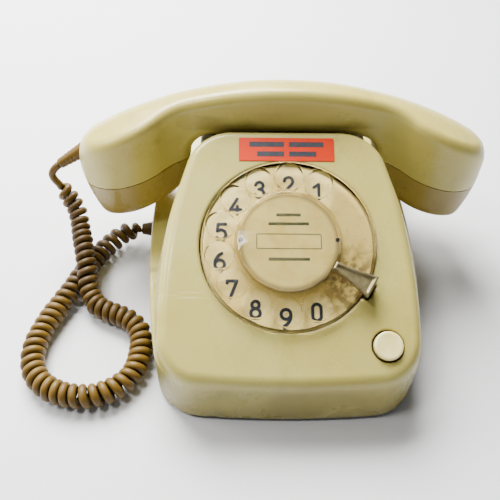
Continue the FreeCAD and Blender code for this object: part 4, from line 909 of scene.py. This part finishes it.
def make_materials():
    m = {}
    # The fourth colour of each plastic serves for stains and also as painted shade in corners and low down.
    m["housing_plastic"] = aged_plastic("housing_aged", (0.480, 0.425, 0.118), (0.460, 0.385, 0.092),
                                        (0.130, 0.090, 0.018), 0.27, 0.85)
    m["handset_plastic"] = aged_plastic("handset_aged", (0.500, 0.420, 0.098), (0.465, 0.365, 0.074),
                                        (0.140, 0.096, 0.018), 0.29, 0.65)
    m["cap_plastic"] = aged_plastic("cap_aged", (0.300, 0.215, 0.042), (0.250, 0.170, 0.030),
                                    (0.080, 0.050, 0.010), 0.31, 0.7)
    m["clear_plastic"] = clear_plastic("clear_aged", (0.98, 0.95, 0.84))
    m["clear_wheel"] = clear_plastic("clear_wheel", (0.98, 0.95, 0.84), 0.03, 1.14)
    m["dial_ring_enamel"] = dial_ring_paint()
    m["card_paper"] = card_paper()
    m["label_orange"] = label_paper()
    m["digit_ink"] = plain("digit_ink", (0.008, 0.010, 0.018), (0.016, 0.017, 0.022), 0.45, scale=300.0)
    m["button_white"] = plain("button_gloss", (0.93, 0.82, 0.34), (0.84, 0.70, 0.24), 0.26, scale=160.0,
                              bump=0.08, coat=0.3)
    m["cord_jacket"] = cord_vinyl()
    m["rubber"] = plain("old_rubber", (0.030, 0.029, 0.027), (0.055, 0.050, 0.044), 0.75)
    m["stop_steel"] = plain("stop_metal", (0.26, 0.215, 0.10), (0.16, 0.13, 0.06), 0.40, 0.7, 0.7, 240.0)
    m["steel"] = plain("zinc_steel", (0.52, 0.52, 0.50), (0.36, 0.35, 0.32), 0.38, 1.0, 0.5, 90.0)
    m["base_steel"] = plain("base_paint", (0.050, 0.049, 0.045), (0.085, 0.080, 0.070), 0.55, scale=70.0)
    m["brass"] = plain("old_brass", (0.56, 0.40, 0.16), (0.36, 0.24, 0.09), 0.36, 1.0, 0.6, 110.0)
    m["inner_plastic"] = plain("black_moulding", (0.030, 0.028, 0.026), (0.060, 0.056, 0.050), 0.5)
    m["board_laminate"] = plain("board", (0.24, 0.13, 0.045), (0.17, 0.09, 0.03), 0.45)
    m["copper_winding"] = plain("winding", (0.42, 0.16, 0.055), (0.28, 0.10, 0.035), 0.35, 0.8, scale=400.0)
    m["magnet_iron"] = plain("magnet", (0.11, 0.11, 0.115), (0.07, 0.065, 0.06), 0.6, 0.9)
    m["capsule_metal"] = plain("capsule", (0.50, 0.50, 0.48), (0.36, 0.35, 0.33), 0.4, 1.0)
    m["print_grey"] = plain("print_grey", (0.085, 0.105, 0.055), (0.20, 0.19, 0.09), 0.7, scale=500.0)
    return m


# ---------------------------------------------------------------- putting it together
def finish_piece(obj, body, slot, material, *nodes):
    obj.data.materials.clear()
    obj.data.materials.append(material)
    if nodes:
        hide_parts(*nodes)
    if body:
        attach(obj, body)


def build():
    m = make_materials()
    cord, path, length = make_cord()
    finish_piece(cord, None, "cord_jacket", m["cord_jacket"], "cord_lead", "cord_upper", "cord_lower")
    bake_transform(cord)
    root, dial = "telephone", "finger_wheel"
    finish_piece(make_housing(), root, "housing_plastic", m["housing_plastic"], "housing_shell")
    front, rear, mouth, ear = make_handset()
    finish_piece(front, "handset", "handset_plastic", m["handset_plastic"], "handset_shell")
    finish_piece(rear, "handset", "handset_plastic", m["handset_plastic"], "handset_back_cover")
    finish_piece(mouth, "handset", "cap_plastic", m["cap_plastic"], "mouth_cap")
    finish_piece(ear, "handset", "cap_plastic", m["cap_plastic"], "ear_cap")
    finish_piece(make_wheel(), dial, "clear_plastic", m["clear_wheel"], "finger_wheel")
    finish_piece(make_hole_rims(), dial, "clear_plastic", m["clear_wheel"])
    finish_piece(make_cap(), dial, "clear_plastic", m["clear_plastic"], "dial_cap")
    finish_piece(make_card(), dial, "card_paper", m["card_paper"], "number_card")
    finish_piece(make_card_print(), dial, "digit_ink", m["print_grey"])
    finish_piece(make_ring(), root, "dial_ring_enamel", m["dial_ring_enamel"], "dial_number_ring")
    finish_piece(make_sticker(), root, "label_orange", m["label_orange"], "sticker_label")
    finish_piece(make_sticker_print(), root, "digit_ink", m["digit_ink"])
    finish_piece(make_stop(), root, "stop_steel", m["stop_steel"], "finger_stop")
    finish_piece(make_cap_holes(), dial, "rubber", m["rubber"])
    finish_piece(make_button(), "push_button", "button_white", m["button_white"], "push_button")
    spring = make_spring()
    finish_piece(spring, root, "steel", m["steel"], "button_spring")
    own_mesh(spring)
    finish_piece(make_boot(), "handset", "cord_jacket", m["cord_jacket"], "handset_cord_boot")
    finish_piece(make_gland(), root, "cord_jacket", m["cord_jacket"], "handset_cord_gland")
    slots = {s["node"]: s["material_slot"] for s in frame["record"]["subparts"]}
    for node, obj in frame["nodes"].items():
        obj.data.materials.clear()
        obj.data.materials.append(m[slots[node]])


def make_stage():
    """Pale floor just under the feet; sizes in metres."""
    half, level = 1.1, -0.0005
    corners = [(-half, -half, level), (half, -half, level), (half, half, level), (-half, half, level)]
    mesh = bpy.data.meshes.new("floor")
    mesh.from_pydata(corners, [], [(0, 1, 2, 3)])
    floor = bpy.data.objects.new("floor", mesh)
    bpy.context.scene.collection.objects.link(floor)
    n = Nodes("floor_paint")
    n.set(color=n.blend(n.noise(2.0, 2.0), (0.70, 0.70, 0.70), (0.72, 0.72, 0.72)), rough=0.6)
    mesh.materials.append(n.material)


def add_light(name, at, aim, size, energy):
    """Square area light, in metres and watts."""
    data = bpy.data.lights.new(name, "AREA")
    data.shape, data.size, data.energy = "SQUARE", size, energy
    lamp = bpy.data.objects.new(name, data)
    lamp.location = at
    lamp.rotation_euler = (Vector(aim) - Vector(at)).to_track_quat("-Z", "Y").to_euler()
    bpy.context.scene.collection.objects.link(lamp)


def make_light():
    """Weak sky light under a background that only the camera sees as bright, and three lamps."""
    world = bpy.data.worlds.new("studio")
    world.use_nodes = True
    nodes, links = world.node_tree.nodes, world.node_tree.links
    soft = nodes["Background"]
    soft.inputs["Color"].default_value = (0.96, 0.98, 1.0, 1)
    soft.inputs["Strength"].default_value = 0.16
    pale = nodes.new("ShaderNodeBackground")
    pale.inputs["Color"].default_value = (0.97, 0.97, 0.97, 1)
    pale.inputs["Strength"].default_value = 1.5
    seen = nodes.new("ShaderNodeLightPath")
    mix = nodes.new("ShaderNodeMixShader")
    links.new(seen.outputs["Is Camera Ray"], mix.inputs[0])
    links.new(soft.outputs[0], mix.inputs[1])
    links.new(pale.outputs[0], mix.inputs[2])
    links.new(mix.outputs[0], nodes["World Output"].inputs["Surface"])
    bpy.context.scene.world = world
    aim = (0, 0, 0.04)
    add_light("key", (-0.26, 0.62, 0.82), aim, 0.75, 68.0)
    add_light("left", (-0.95, 0.15, 0.60), aim, 0.4, 7.0)
    add_light("strip", (-0.40, -0.16, 0.95), aim, 0.16, 4.0)


make_camera()
build()
make_stage()
make_light()
